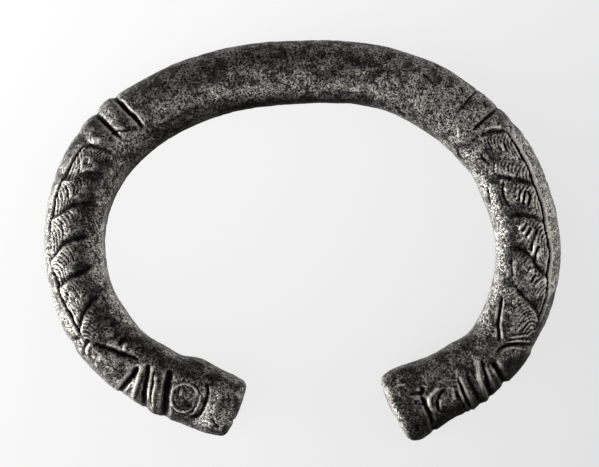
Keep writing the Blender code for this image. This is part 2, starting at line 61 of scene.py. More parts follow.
# How far each edge stands from that line, as (along, half widths)
LEFT_OUTER = ((0, 0.93), (0.5, 1.03), (0.9, 1.06), (1.5, 1.04), (2.3, 1.04), (3.1, 0.96), (3.7, 0.95),
              (4.6, 0.95), (5.2, 0.99), (6.5, 0.98), (9.0, 0.98), (10.8, 1.01), (11.9, 1.02), (13.0, 1.01),
              (15.5, 1.02), (17.5, 1.00))
LEFT_INNER = ((0, 0.89), (0.5, 0.95), (1.0, 0.99), (1.7, 1.08), (2.0, 1.01), (3.0, 1.00), (3.7, 0.96),
              (5.0, 0.97), (5.8, 0.92), (7.5, 0.90), (9.0, 0.93), (10.2, 1.00), (13.0, 1.01), (17.5, 0.99))
RIGHT_OUTER = ((0, 1.05), (0.35, 1.17), (0.75, 1.13), (1.0, 1.12), (1.4, 1.05), (2.3, 1.05), (3.0, 0.96),
               (3.7, 0.93), (4.3, 0.94), (5.5, 0.94), (7.0, 0.98), (8.5, 0.97), (10.4, 0.99), (11.5, 0.97),
               (12.4, 0.99), (13.1, 1.03), (13.9, 0.96), (15.0, 0.98), (17.5, 1.00))
RIGHT_INNER = ((0, 1.10), (0.25, 1.17), (1.0, 1.15), (1.6, 1.07), (2.7, 1.08), (3.3, 1.01), (5.0, 1.02),
               (7.0, 1.02), (8.2, 1.04), (9.3, 1.08), (10.2, 1.02), (10.8, 1.05), (11.8, 1.03), (13.0, 1.00),
               (14.5, 0.97), (16.2, 0.95), (17.5, 0.99))
LEFT_HEIGHT = ((0, 0.98), (1.5, 1.01), (3.2, 0.98), (5.0, 0.98), (11.0, 1.0), (13.5, 1.04), (17.5, 1.05))
RIGHT_HEIGHT = ((0, 0.99), (1.5, 1.01), (3.2, 0.98), (5.0, 0.98), (11.0, 1.0), (13.5, 1.04), (17.5, 1.05))
# Where one arm's sizes pass into the other's, as shares of the whole bar
MIDDLE_OF_BACK = (0.45, 0.55)

# How square the bar's section is: 2 is an ellipse, and more is nearer to a box
OUTER_SQUARENESS = 2.3
INNER_SQUARENESS = 2.9
MUZZLE_SQUARENESS = 3.4
SNOUT_LENGTH = 1.4

# Marks cut or raised on an arm, as (height, reach to each side, points along the mark)
LEFT_MARKS = (
    # The grooves and the ridge between them that ring the eye on the muzzle's side
    (-0.08, 0.09, ((1.32, 0.76), (1.08, 0.66), (1.01, 0.46), (1.00, 0.16), (1.02, -0.10), (1.12, -0.36),
                   (1.26, -0.50))),
    (0.04, 0.06, ((1.42, 0.71), (1.25, 0.61), (1.19, 0.38), (1.19, 0.14), (1.27, -0.12))),
    (-0.06, 0.06, ((1.52, 0.68), (1.33, 0.57), (1.25, 0.34), (1.26, 0.06), (1.36, -0.17), (1.64, -0.29))),
    # The muzzle's fall towards the eye
    (-0.08, 0.55, ((1.06, 0.95), (1.05, 0.40), (1.08, -0.15), (1.16, -0.60))),
    # The deep furrow behind the eye
    (-0.16, 0.19, ((1.98, 1.25), (2.06, 0.95), (2.14, 0.68), (2.22, 0.38), (2.29, 0.08), (2.36, -0.25),
                   (2.43, -0.54))),
    # The folds of the cheek and the furrows between them
    (0.07, 0.13, ((2.24, 1.25), (2.42, 0.91), (2.54, 0.58), (2.62, 0.25), (2.74, -0.02), (2.86, -0.22))),
    (-0.05, 0.05, ((2.42, 0.89), (2.60, 0.58), (2.70, 0.28), (2.80, 0.01), (2.92, -0.23))),
    (0.04, 0.08, ((2.60, 0.73), (2.72, 0.45), (2.82, 0.15), (2.93, -0.10), (3.04, -0.33))),
    (-0.11, 0.11, ((2.50, 1.18), (2.68, 0.87), (2.82, 0.58), (2.93, 0.27), (3.03, -0.02), (3.18, -0.37))),
    (0.07, 0.13, ((2.92, 1.13), (3.06, 0.73), (3.15, 0.39), (3.23, 0.10), (3.40, -0.29))),
    # The cut in front of the ear
    (-0.15, 0.12, ((3.40, 1.60), (3.39, 0.95), (3.38, 0.50), (3.37, 0.16), (3.40, -0.10))),
    # The furrow under the ear, and the curl at its end
    (-0.09, 0.11, ((3.44, -0.22), (3.72, -0.17), (4.02, -0.05), (4.32, 0.09), (4.58, 0.25), (4.76, 0.39))),
    (-0.06, 0.08, ((4.58, 0.83), (4.84, 0.77), (4.96, 0.60), (4.97, 0.40))),
    (0.05, 0.08, ((4.64, 0.75), (4.80, 0.64), (4.88, 0.42))),
    # The notch between the ear and the crest
    (-0.07, 0.13, ((5.22, 1.50), (5.22, 0.93), (5.16, 0.64))),
    # The nostril and the hollow behind the corner of the mouth
    (-0.06, 0.08, ((0.28, 0.70), (0.48, 0.66), (0.62, 0.52))),
    (-0.05, 0.20, ((1.16, -0.52), (1.26, -0.76))),
    # The inner end of the second collar's groove
    (-0.09, 0.10, ((12.36, 0.30), (12.40, 0.02), (12.37, -0.32))),
)
RIGHT_MARKS = (
    # The groove behind the muzzle and the brow over the eye
    (-0.11, 0.12, ((0.80, 1.30), (0.90, 0.88), (0.97, 0.48), (0.96, 0.13), (1.02, -0.15))),
    (0.07, 0.11, ((1.06, 0.58), (1.07, 0.31), (1.16, 0.11), (1.36, -0.02), (1.64, -0.12))),
    (-0.06, 0.08, ((1.20, 0.65), (1.32, 0.37), (1.50, 0.15), (1.76, 0.03))),
    # The folds of the cheek and the furrows between them
    (-0.06, 0.07, ((1.90, 1.20), (2.01, 0.90), (2.02, 0.50), (2.06, 0.14))),
    (0.05, 0.07, ((2.04, 1.10), (2.08, 0.55), (2.13, 0.20), (2.21, -0.06), (2.32, -0.28), (2.44, -0.48))),
    (-0.07, 0.07, ((2.13, 1.20), (2.16, 0.72), (2.19, 0.27), (2.24, -0.14))),
    (0.06, 0.08, ((2.22, 1.30), (2.25, 0.75), (2.28, 0.30), (2.32, 0.00), (2.40, -0.25))),
    (-0.07, 0.12, ((2.42, 1.20), (2.48, 0.70), (2.51, 0.25), (2.58, -0.12))),
    (0.08, 0.13, ((2.58, 1.30), (2.70, 0.70), (2.80, 0.25), (2.95, -0.04), (3.16, -0.36))),
    (-0.09, 0.09, ((2.72, 1.15), (2.87, 0.66), (3.00, 0.36), (3.10, 0.10), (3.20, -0.16))),
    (0.05, 0.06, ((2.96, 0.90), (3.05, 0.45), (3.17, 0.02))),
    # The cut in front of the ear
    (-0.12, 0.12, ((3.25, 1.60), (3.25, 0.95), (3.35, 0.50), (3.38, 0.06))),
    # The ear's edge and the first tuft of the mane behind it
    (-0.06, 0.09, ((3.58, 0.03), (3.92, 0.08), (4.16, 0.30), (4.34, 0.66), (4.44, 1.00))),
    (0.04, 0.08, ((3.68, 0.16), (3.98, 0.24), (4.14, 0.48), (4.25, 0.85))),
    (-0.07, 0.08, ((3.98, -0.05), (4.25, -0.25), (4.62, -0.44), (5.06, -0.57), (5.52, -0.68))),
    (0.03, 0.07, ((4.08, 0.02), (4.44, -0.24), (4.86, -0.42), (5.35, -0.54))),
    # The nostril and the corner of the mouth
    (-0.05, 0.14, ((0.32, 0.92), (0.42, 0.78), (0.50, 0.62))),
    (-0.05, 0.10, ((0.62, -0.30), (0.84, -0.24), (1.02, -0.16), (1.14, -0.30))),
    # The round hems of three tufts
    (-0.06, 0.08, ((8.50, -0.32), (8.76, -0.44), (9.12, -0.44), (9.36, -0.34), (9.50, -0.20))),
    (-0.05, 0.08, ((10.14, -0.34), (10.28, -0.44), (10.68, -0.43))),
    (-0.05, 0.08, ((6.10, -0.46), (6.50, -0.53), (6.90, -0.58))),
    # The joints of the crest's plates
    (-0.07, 0.12, ((10.25, 1.60), (10.25, 0.80))),
    (-0.05, 0.10, ((9.00, 1.60), (9.00, 0.82))),
    (-0.04, 0.10, ((6.88, 1.60), (6.88, 0.80))),
)

# Finer marks that the solid doesn't carry, in the same form
LEFT_FINE_MARKS = (
    # The eye's lid and far rim, and the hollow in its ball
    (-0.05, 0.05, ((1.46, 0.70), (1.76, 0.72), (1.98, 0.58), (2.06, 0.34))),
    (0.04, 0.06, ((1.90, 0.66), (2.01, 0.48), (2.09, 0.14), (2.13, -0.12))),
    (-0.04, 0.05, ((1.86, 0.30), (1.90, 0.08), (1.94, -0.12))),
    (-0.06, 0.20, ((1.40, 0.44), (1.52, 0.36), (1.64, 0.26))),
    # The fine strokes in the cheek's folds
    (-0.03, 0.045, ((2.98, 0.60), (3.07, 0.25), (3.18, -0.10))),
    (-0.025, 0.04, ((2.45, -0.32), (2.54, -0.48), (2.62, -0.62))),
    (-0.025, 0.04, ((2.58, -0.30), (2.66, -0.46), (2.72, -0.58))),
    # The small ring, the raised chip and the hollow behind it, under the ear
    (-0.04, 0.045, ((3.52, -0.46), (3.56, -0.35), (3.65, -0.31), (3.75, -0.35), (3.79, -0.46), (3.72, -0.56),
                    (3.62, -0.58), (3.54, -0.53))),
    (0.07, 0.10, ((3.98, -0.12), (4.08, -0.20), (4.20, -0.38))),
    (-0.07, 0.14, ((4.28, -0.12), (4.34, -0.34), (4.28, -0.54))),
    # Lines on the ear and in the curl at its end
    (-0.02, 0.04, ((3.58, 0.30), (3.78, 0.46))),
    (0.03, 0.05, ((4.30, 0.50), (4.56, 0.68))),
    (-0.03, 0.04, ((4.40, 0.46), (4.66, 0.60))),
    (-0.05, 0.08, ((4.56, 0.36), (4.68, 0.33), (4.80, 0.42))),
    # Small cuts by the crest's head end
    (-0.04, 0.04, ((5.00, 0.28), (5.05, 0.04))),
    (-0.04, 0.04, ((5.10, 0.20), (5.17, -0.08))),
    (-0.03, 0.04, ((4.90, 0.06), (5.02, -0.10))),
    # Bold strands in the tufts
    (-0.05, 0.045, ((6.16, 0.64), (6.26, 0.54), (6.38, 0.47), (6.54, 0.47))),
    (-0.04, 0.045, ((6.15, 0.14), (6.32, 0.17), (6.50, 0.24))),
    (-0.04, 0.045, ((6.45, -0.20), (6.60, -0.12), (6.72, -0.03))),
    (-0.05, 0.045, ((7.32, 0.06), (7.50, 0.10), (7.68, 0.20))),
    (-0.04, 0.045, ((7.55, -0.14), (7.68, -0.10), (7.80, -0.02))),
    (-0.04, 0.040, ((7.22, 0.30), (7.38, 0.36), (7.50, 0.52))),
    (-0.04, 0.040, ((7.28, 0.18), (7.46, 0.26), (7.62, 0.46))),
    (-0.05, 0.060, ((8.10, 0.36), (8.30, 0.38), (8.52, 0.48))),
    (0.03, 0.050, ((8.66, -0.16), (8.80, -0.10), (8.96, -0.02))),
    (-0.05, 0.050, ((9.22, 0.40), (9.38, 0.44), (9.56, 0.60))),
    (0.03, 0.050, ((9.24, 0.28), (9.42, 0.34), (9.58, 0.50))),
    (-0.05, 0.050, ((10.02, 0.33), (10.20, 0.40), (10.40, 0.54))),
    (-0.05, 0.100, ((10.30, 0.28), (10.54, 0.28))),
    # The worn facet and the crack by the collars
    (0.04, 0.20, ((10.98, 0.50), (11.20, 0.28))),
    (-0.06, 0.045, ((11.45, 0.17), (11.62, 0.15), (11.75, 0.08), (11.90, -0.05), (12.12, -0.14))),
    # Scratches on the back
    (-0.03, 0.05, ((12.50, 0.94), (12.56, 0.86))),
    (-0.03, 0.05, ((13.85, 0.98), (14.00, 0.86))),
)
RIGHT_FINE_MARKS = (
    # The worn corner, the dents and the corner of the mouth
    (0.03, 0.06, ((0.64, 1.00), (0.78, 0.82), (0.86, 0.64))),
    (-0.05, 0.15, ((0.32, 0.90), (0.50, 0.84))),
    (0.04, 0.05, ((0.44, -0.74), (0.56, -0.66), (0.72, -0.60))),
    (-0.03, 0.05, ((0.42, -0.66), (0.60, -0.56))),
    (0.03, 0.05, ((0.48, -0.78), (0.60, -0.92), (0.62, -1.02))),
    (-0.03, 0.05, ((0.38, -0.90), (0.50, -0.98))),
    (-0.06, 0.12, ((0.94, -0.10), (1.04, -0.20), (1.16, -0.32))),
    # Lines in the eye and in the folds of the cheek
    (-0.04, 0.05, ((1.24, 0.62), (1.30, 0.44), (1.36, 0.28))),
    (0.03, 0.05, ((1.32, 0.56), (1.38, 0.40), (1.46, 0.26))),
    (-0.04, 0.05, ((1.60, 0.66), (1.70, 0.44), (1.84, 0.24))),
    (0.04, 0.05, ((1.84, 0.52), (1.90, 0.30), (1.97, 0.08))),
    (-0.04, 0.045, ((1.93, 0.58), (1.97, 0.34), (2.03, 0.08))),
    (-0.04, 0.05, ((2.58, 0.02), (2.62, -0.16), (2.66, -0.30))),
    (-0.04, 0.04, ((2.68, 0.30), (2.72, 0.04), (2.76, -0.14))),
    (-0.03, 0.04, ((3.12, 0.60), (3.18, 0.30), (3.26, 0.08))),
    # The fan of strands behind the ear
    (0.04, 0.04, ((4.12, 0.10), (4.30, 0.36), (4.46, 0.78))),
    (-0.04, 0.045, ((4.18, 0.10), (4.36, 0.34), (4.54, 0.76))),
    (0.03, 0.04, ((4.28, 0.12), (4.46, 0.36), (4.62, 0.70))),
    (-0.04, 0.045, ((4.36, 0.10), (4.54, 0.36), (4.74, 0.66))),
    (-0.05, 0.05, ((4.50, 0.30), (4.64, 0.33), (4.80, 0.36), (5.00, 0.44))),
    (-0.04, 0.05, ((4.56, 0.14), (4.80, 0.22), (5.02, 0.30))),
    # The cuts under the mane's head end
    (-0.05, 0.05, ((4.36, -0.38), (4.70, -0.49), (5.10, -0.57), (5.46, -0.65))),
    (0.04, 0.05, ((4.06, -0.24), (4.24, -0.32), (4.36, -0.40))),
    (-0.03, 0.05, ((5.32, -0.28), (5.58, -0.36), (5.80, -0.36))),
    # Bold strands in the tufts
    (-0.05, 0.05, ((6.10, 0.12), (6.26, 0.16), (6.40, 0.24))),
    (-0.05, 0.05, ((6.30, -0.06), (6.44, -0.02), (6.56, 0.04))),
    (-0.11, 0.06, ((6.75, 0.18), (7.00, 0.20), (7.25, 0.30))),
    (-0.11, 0.06, ((7.00, 0.08), (7.30, 0.10), (7.50, 0.20), (7.75, 0.28))),
    (-0.10, 0.06, ((7.55, -0.07), (7.65, 0.03), (7.80, 0.11))),
    (-0.10, 0.06, ((7.70, -0.17), (7.80, -0.07), (7.95, 0.01))),
    (-0.10, 0.06, ((8.45, 0.13), (8.60, 0.25), (8.80, 0.30), (8.90, 0.18))),
    (-0.11, 0.06, ((8.50, 0.03), (8.75, 0.13), (8.95, 0.23))),
    (-0.10, 0.06, ((8.65, -0.05), (8.85, 0.01), (9.00, 0.13))),
    (-0.09, 0.06, ((8.80, -0.12), (8.95, -0.02))),
    (-0.05, 0.05, ((9.35, 0.12), (9.45, 0.18), (9.58, 0.26))),
    (-0.06, 0.06, ((9.65, -0.02), (9.75, 0.03), (9.85, 0.08))),
    (-0.06, 0.06, ((10.22, 0.26), (10.36, 0.30), (10.50, 0.33))),
    (-0.05, 0.06, ((10.50, -0.07), (10.65, -0.05), (10.80, -0.02))),
    # Raised strands and worn lumps between them
    (0.08, 0.07, ((6.98, 0.13), (7.14, 0.14), (7.36, 0.17), (7.62, 0.28))),
    (0.08, 0.07, ((7.44, -0.02), (7.58, 0.05), (7.76, 0.18))),
    (0.08, 0.07, ((7.60, -0.14), (7.76, -0.06), (7.90, 0.05))),
    (0.08, 0.06, ((7.74, -0.26), (7.88, -0.18), (7.98, -0.08))),
    (0.08, 0.07, ((8.54, 0.08), (8.72, 0.18), (8.90, 0.25))),
    (0.08, 0.06, ((8.62, -0.01), (8.80, 0.06), (8.98, 0.16))),
    (0.08, 0.06, ((8.76, -0.11), (8.94, -0.02), (9.06, 0.06))),
    (0.07, 0.06, ((10.24, 0.19), (10.38, 0.22), (10.52, 0.25))),
    (0.06, 0.10, ((5.68, 0.42), (5.84, 0.38))),
    (0.06, 0.10, ((5.98, 0.34), (6.14, 0.30))),
    (0.06, 0.09, ((6.38, 0.14), (6.52, 0.10))),
    (0.04, 0.10, ((9.85, 0.48), (10.00, 0.24))),
    (0.05, 0.08, ((10.85, 0.58), (11.00, 0.42), (11.15, 0.18))),
    # Cracks along the inner side and scratches by the collars and on the back
    (-0.05, 0.05, ((8.85, -0.93), (9.10, -0.91), (9.35, -0.85), (9.55, -0.82))),
    (-0.03, 0.04, ((9.90, -0.83), (10.15, -0.84), (10.40, -0.83))),
    (-0.04, 0.05, ((10.75, -0.95), (11.15, -0.94), (11.35, -0.85))),
    (-0.03, 0.05, ((8.60, -0.56), (8.95, -0.58), (9.30, -0.55))),
    (0.04, 0.06, ((11.50, -0.62), (11.70, -0.47), (11.85, -0.32))),
    (-0.04, 0.05, ((10.65, 0.78), (10.75, 0.86), (10.85, 0.90))),
    (-0.04, 0.05, ((11.55, 0.67), (11.70, 0.77))),
    (-0.06, 0.05, ((12.30, 0.62), (12.38, 0.70), (12.45, 0.77))),
    (-0.05, 0.06, ((13.26, 0.92), (13.40, 0.94), (13.50, 1.00))),
    (-0.04, 0.05, ((13.06, 0.64), (13.22, 0.72))),
    (-0.05, 0.05, ((13.22, 0.36), (13.40, 0.44), (13.66, 0.52))),
    (-0.05, 0.06, ((13.50, -0.88), (13.70, -0.90), (13.82, -0.82), (14.02, -0.80))),
)

# Patina and wear, with painted shade and painted highlights laid in with them, as (how much darker it is, or
# below 0 how far it is worn off or painted brighter, reach, points along its middle)
LEFT_STAINS_AND_PAINTED_LIGHT = (
    # The head: a worn muzzle with a painted highlight on it, and painted shade in the eye, the furrows and on
    # the inner side
    (-1.0, 0.26, ((0.76, 0.90), (0.84, 0.40), (0.80, -0.20))),
    (0.6, 0.32, ((1.45, 0.50), (1.75, 0.25))),
    (0.8, 0.28, ((2.05, 0.95), (2.20, 0.40), (2.35, -0.20))),
    (0.7, 0.20, ((2.55, 1.00), (2.85, 0.55), (3.00, 0.10))),
    (0.9, 0.45, ((1.00, -0.70), (1.80, -0.55), (3.20, -0.60), (4.60, -0.45), (5.40, -0.30))),
    (0.6, 0.35, ((5.00, 0.12), (5.30, -0.05))),
    # The mane: worn and with a painted highlight by the crest, and painted shade on its inner side
    (-0.9, 0.28, ((5.50, 0.56), (6.40, 0.52), (7.40, 0.60), (8.60, 0.58), (9.60, 0.54), (10.50, 0.46))),
    (-0.5, 0.22, ((5.20, 1.00), (7.00, 1.00), (9.60, 1.00))),
    (0.9, 0.36, ((5.60, -0.22), (7.00, -0.20), (9.20, -0.22), (10.60, -0.25))),
    (-0.4, 0.14, ((2.00, -0.95), (5.00, -0.88), (8.00, -0.82), (11.00, -0.90))),
    (0.5, 0.25, ((10.20, 0.88), (11.30, 0.80))),
    # Painted shade in the valleys between the tufts
    (1.0, 0.16, ((5.60, 0.42), (5.80, 0.15), (6.02, -0.30))),
    (1.0, 0.16, ((6.72, 0.62), (6.92, 0.25), (7.06, -0.30))),
    (1.0, 0.16, ((7.62, 0.64), (7.96, 0.30), (8.14, -0.25))),
    (1.0, 0.16, ((8.70, 0.64), (9.02, 0.28), (9.22, -0.35))),
    (0.9, 0.16, ((9.78, 0.60), (10.02, 0.22), (10.20, -0.30))),
    # The collars and the back, with painted shade and painted highlights
    (-0.6, 0.20, ((11.20, -0.15), (11.60, -0.10))),
    (0.7, 0.30, ((12.00, 0.15), (12.10, -0.05))),
    (-0.4, 0.14, ((12.60, 0.15), (12.55, -0.20))),
    (0.9, 0.12, ((12.20, -0.62), (13.20, -0.55), (14.50, -0.60))),
    (-0.6, 0.22, ((13.90, 0.02), (13.95, -0.32))),
    (0.5, 0.40, ((13.20, 0.30), (14.90, 0.35), (16.50, 0.60), (18.00, 0.50))),
    (-1.0, 0.30, ((14.90, -0.35), (15.60, -0.40), (16.40, -0.50), (17.20, -0.45))),
    (1.0, 0.14, ((15.00, -0.88), (18.00, -0.92))),
)
RIGHT_STAINS_AND_PAINTED_LIGHT = (
    # The head: painted shade over its outer side and middle, and a worn front rim and ridges with painted
    # highlights
    (1.3, 0.52, ((0.38, 0.78), (1.30, 0.88), (2.30, 0.88), (3.20, 0.82), (4.00, 0.98))),
    (0.5, 0.30, ((3.50, 0.60), (4.00, 0.60), (4.80, 0.80))),
    (0.6, 0.80, ((0.70, 0.20), (1.60, 0.10), (2.60, 0.00), (3.50, 0.00))),
    (-0.4, 0.16, ((0.04, 0.80), (0.08, 0.10), (0.06, -0.90))),
    (-0.8, 0.12, ((1.08, 0.26), (1.20, 0.05), (1.50, -0.06))),
    (-0.6, 0.10, ((2.18, 0.20), (2.32, -0.25))),
    (-0.6, 0.13, ((2.82, 0.32), (3.12, -0.22))),
    (-0.9, 0.30, ((4.80, 0.20), (5.10, 0.05), (5.32, -0.12))),
    # The mane: painted shade in the valleys and on the inner side, and painted highlights on the tufts and
    # along both edges
    (0.7, 0.18, ((5.45, 0.45), (5.75, -0.10))),
    (-0.8, 0.22, ((5.80, 0.40), (6.10, 0.30), (6.40, 0.10), (6.62, -0.15))),
    (0.8, 0.28, ((5.85, -0.02), (6.20, -0.22), (6.90, -0.35), (7.60, -0.50))),
    (-0.9, 0.20, ((7.00, 0.20), (7.40, 0.25), (7.70, 0.05), (7.92, -0.10))),
    (0.6, 0.25, ((8.20, -0.05), (8.40, -0.30))),
    (-0.7, 0.18, ((8.60, 0.15), (8.92, 0.00))),
    (0.9, 0.16, ((6.40, 0.45), (6.72, 0.12), (7.05, -0.20))),
    (0.8, 0.14, ((7.98, 0.48), (8.12, 0.18), (8.26, -0.10))),
    (0.8, 0.14, ((9.06, 0.46), (9.28, 0.12), (9.52, -0.20))),
    (0.6, 0.30, ((7.10, -0.50), (8.00, -0.45), (9.60, -0.55))),
    (-0.5, 0.15, ((9.90, 0.45), (10.10, 0.20))),
    (-0.6, 0.14, ((10.90, 0.52), (11.12, 0.20))),
    (-0.4, 0.22, ((4.50, -0.92), (6.00, -0.88), (8.00, -0.85), (9.50, -0.78), (11.00, -0.82))),
    (-0.5, 0.24, ((6.20, 0.84), (9.00, 0.82), (10.80, 0.80))),
    # The collars and the back, with painted shade and painted highlights
    (-0.5, 0.90, ((11.60, 0.00), (12.60, -0.10), (13.80, -0.10))),
    (-0.9, 0.28, ((14.50, -0.35), (15.50, -0.45), (16.40, -0.45))),
    (0.7, 0.36, ((15.60, 0.30), (16.40, -0.05))),
    (0.7, 0.36, ((17.20, 0.45), (18.20, 0.50))),
    (-0.6, 0.16, ((17.40, -0.20), (17.90, -0.50))),
    (0.9, 0.12, ((15.00, -0.90), (16.50, -0.90), (18.00, -0.90))),
)

# How much of each cut is worn away at the outer edge, and from where across to where
EDGE_WEAR = 0.6
EDGE_WEAR_BAND = (0.75, 0.98)

# The ears, laid back: height, width of the sloping edge, outline
LEFT_EAR = (0.06, 0.16, ((3.46, 1.80), (3.46, 0.06), (3.70, -0.08), (4.02, 0.03), (4.32, 0.17), (4.58, 0.36),
                         (4.88, 0.46), (5.00, 0.68), (5.10, 1.00), (5.10, 1.80)))
RIGHT_EAR = (0.06, 0.16, ((3.40, 1.80), (3.42, 0.23), (3.60, 0.09), (3.90, 0.16), (4.12, 0.40), (4.27, 0.75),
                          (4.36, 1.00), (4.36, 1.80)))

# The eyes: centre, and how clear they still are
LEFT_EYE = ((1.67, 0.23), 1.0)
RIGHT_EYE = ((1.62, 0.44), 0.6)
EYE_RADIUS = 0.44
EYE_RISE = 0.07
LID_RISE = 0.05
LID_REACH = 0.10
PUPIL_SHARE = 0.78

# The lower edge of the crest that runs over the mane, as (along, across)
LEFT_CREST = ((5.1, 0.60), (5.5, 0.60), (5.9, 0.61), (6.3, 0.67), (6.8, 0.71), (7.4, 0.81), (8.3, 0.80),
              (8.9, 0.80), (9.4, 0.77), (9.8, 0.71), (10.4, 0.66), (10.9, 0.62))
RIGHT_CREST = ((4.9, 0.70), (5.6, 0.69), (6.0, 0.66), (6.5, 0.60), (6.95, 0.63), (7.3, 0.60), (7.8, 0.54),
               (8.2, 0.58), (8.9, 0.55), (9.4, 0.59), (10.0, 0.60), (10.7, 0.64))
CREST_RISE = 0.035
CREST_GROOVE = 0.14
CREST_GROOVE_REACH = 0.050
# How much of the groove is left, as (along, share)
LEFT_CREST_DEPTH = ((5.1, 0.5), (6.5, 0.6), (7.0, 0.45), (7.6, 0.3), (8.0, 0.1), (8.6, 0.5), (9.4, 0.8),
                    (9.8, 0.25), (10.1, 0.8), (10.9, 0.3))
RIGHT_CREST_DEPTH = ((4.9, 0.3), (5.7, 0.8), (6.2, 1.3), (10.6, 1.3), (10.8, 0.6))

# The raised far edges of the mane's tufts, from the head outwards, each as how clear it still is and
# points from the crest inwards
LEFT_TUFTS = (
    (1.0, ((5.16, 0.64), (5.32, 0.49), (5.50, 0.31), (5.67, 0.10), (5.82, -0.14), (5.97, -0.50))),
    (1.0, ((6.57, 0.76), (6.66, 0.44), (6.73, 0.23), (6.79, 0.03), (6.91, -0.32), (6.96, -0.50))),
    (1.0, ((7.36, 0.76), (7.56, 0.54), (7.71, 0.38), (7.84, 0.17), (7.91, -0.03), (8.02, -0.45))),
    (0.8, ((8.49, 0.76), (8.62, 0.54), (8.80, 0.33), (8.96, 0.12), (9.06, -0.09), (9.14, -0.50))),
    (0.6, ((9.60, 0.72), (9.70, 0.46), (9.88, 0.24), (10.05, 0.03), (10.17, -0.45))),
    (0.6, ((10.63, 0.66), (10.74, 0.38), (10.84, 0.13), (10.94, -0.25))),
)
RIGHT_TUFTS = (
    (1.0, ((5.03, 0.70), (5.27, 0.45), (5.38, 0.23), (5.50, -0.01), (5.66, -0.22), (5.88, -0.50))),
    (1.0, ((6.22, 0.62), (6.36, 0.35), (6.58, 0.16), (6.78, 0.03), (6.97, -0.17), (7.07, -0.50))),
    (1.0, ((7.72, 0.56), (7.88, 0.37), (7.99, 0.17), (8.08, -0.03), (8.14, -0.40))),
    (0.9, ((8.84, 0.56), (8.96, 0.41), (9.11, 0.18), (9.27, -0.03), (9.46, -0.23), (9.58, -0.50))),
    (0.6, ((9.62, 0.58), (9.80, 0.28), (9.97, 0.03), (10.16, -0.35))),
    (0.8, ((10.60, 0.62), (10.76, 0.33), (10.88, 0.11), (11.00, -0.15))),
)
LEFT_FIRST_TUFT = 4.75
RIGHT_FIRST_TUFT = 3.95
TUFT_RISE = 0.085
TUFT_DROP = (-0.08, 0.15)
TUFT_GROOVE = 0.040
TUFT_GROOVE_REACH = 0.12
TUFTS_INNER_END = (-0.52, -0.28)
# Each tuft is domed across the bar too: height, where its top is and how far it reaches
TUFT_DOME = (0.085, 0.16, 0.58)

# The strands in a tuft: they leave its far edge, run towards the head and bend outwards to the crest
STRAND_PITCH = 0.105
STRAND_DEPTH = 0.052
STRAND_SLANT = (0.45, 1.10)
STRAND_BEND = 0.60
STRAND_LENGTH = (0.30, 1.05)
STRAND_BAND = (-0.25, 0.55)
STRAND_WANDER = 0.35

# The hatching across the crest
HATCH_PITCH = 0.13
HATCH_DEPTH = 0.012
HATCH_SLANT = 0.5
LEFT_HATCH_SPAN = (9.7, 11.2)
RIGHT_HATCH_SPAN = (6.0, 8.6)

# The underside is plainer: the finest carving starts between these heights on the flanks
UPPER_BAND = (-0.15, 0.15)

# The collars: grooves as (along, how far each leans towards the back on its inner side, depth, reach),
# bulges as (from, to, height)
LEFT_COLLAR_GROOVES = ((11.62, 0.02, 0.11, 0.09), (12.38, 0.13, 0.12, 0.10))
LEFT_COLLAR_BULGES = ((10.90, 11.56, 0.07), (11.66, 12.30, 0.09))
RIGHT_COLLAR_GROOVES = ((11.39, 0.08, 0.07, 0.07), (12.13, 0.10, 0.05, 0.07))
RIGHT_COLLAR_BULGES = ((10.80, 11.32, 0.03), (11.42, 12.04, 0.03))
COLLAR_INNER_END = (-0.25, 0.12)

# The front of a muzzle: the mouth's line across it and the two nostrils, as (across, up)
MOUTH_PLACE = 0.35
MOUTH_DEPTH = 0.05
MOUTH_REACH = 0.10
MOUTH_LENGTH = 0.22
NOSTRIL_PLACE = (0.62, 0.34)
NOSTRIL_DEPTH = 0.05
NOSTRIL_REACH = 0.13

# Pits and dents of the old surface: size of a lump in metres, height in half widths
DENTS = (0.0026, 0.014)
PITS = (0.00080, 0.028)
GRAINS = (0.00045, 0.012)
PITTED_BAND = (-0.80, -0.55, 0.10, 0.45)
PLAIN_SHARE = 0.55
NOISE_CELLS = 31

# Fineness of the surface: rows per arm and on the back, columns on the upper and the lower side
ARM_LENGTH = 12.6
ARM_ROW_STEP = 0.00020
BACK_ROW_STEP = 0.00040
UPPER_COLUMNS = 96
LOWER_COLUMNS = 30
UPPER_SHARE = (-0.03, 0.54)
ROUND_ROWS = 6
FACE_ROWS = 14
LINE_STEPS = 4000
MARK_STEPS = 18
OUTLINE_STEPS = 60
SECTION_STEPS = 720
BLUR_PASSES = 7

# The camera, straight above, with the photograph's frame: one of its pixels shows this length in the
# plane through the middle of the bar
PIXEL = 0.0001553
IMAGE_WIDTH = 599
CAMERA_HEIGHT = 0.9
MIDDLE_HEIGHT = 0.0052
SENSOR = 36.0
CAMERA_PLACE = (-0.00045, 0.00106)


# Small tools for curves

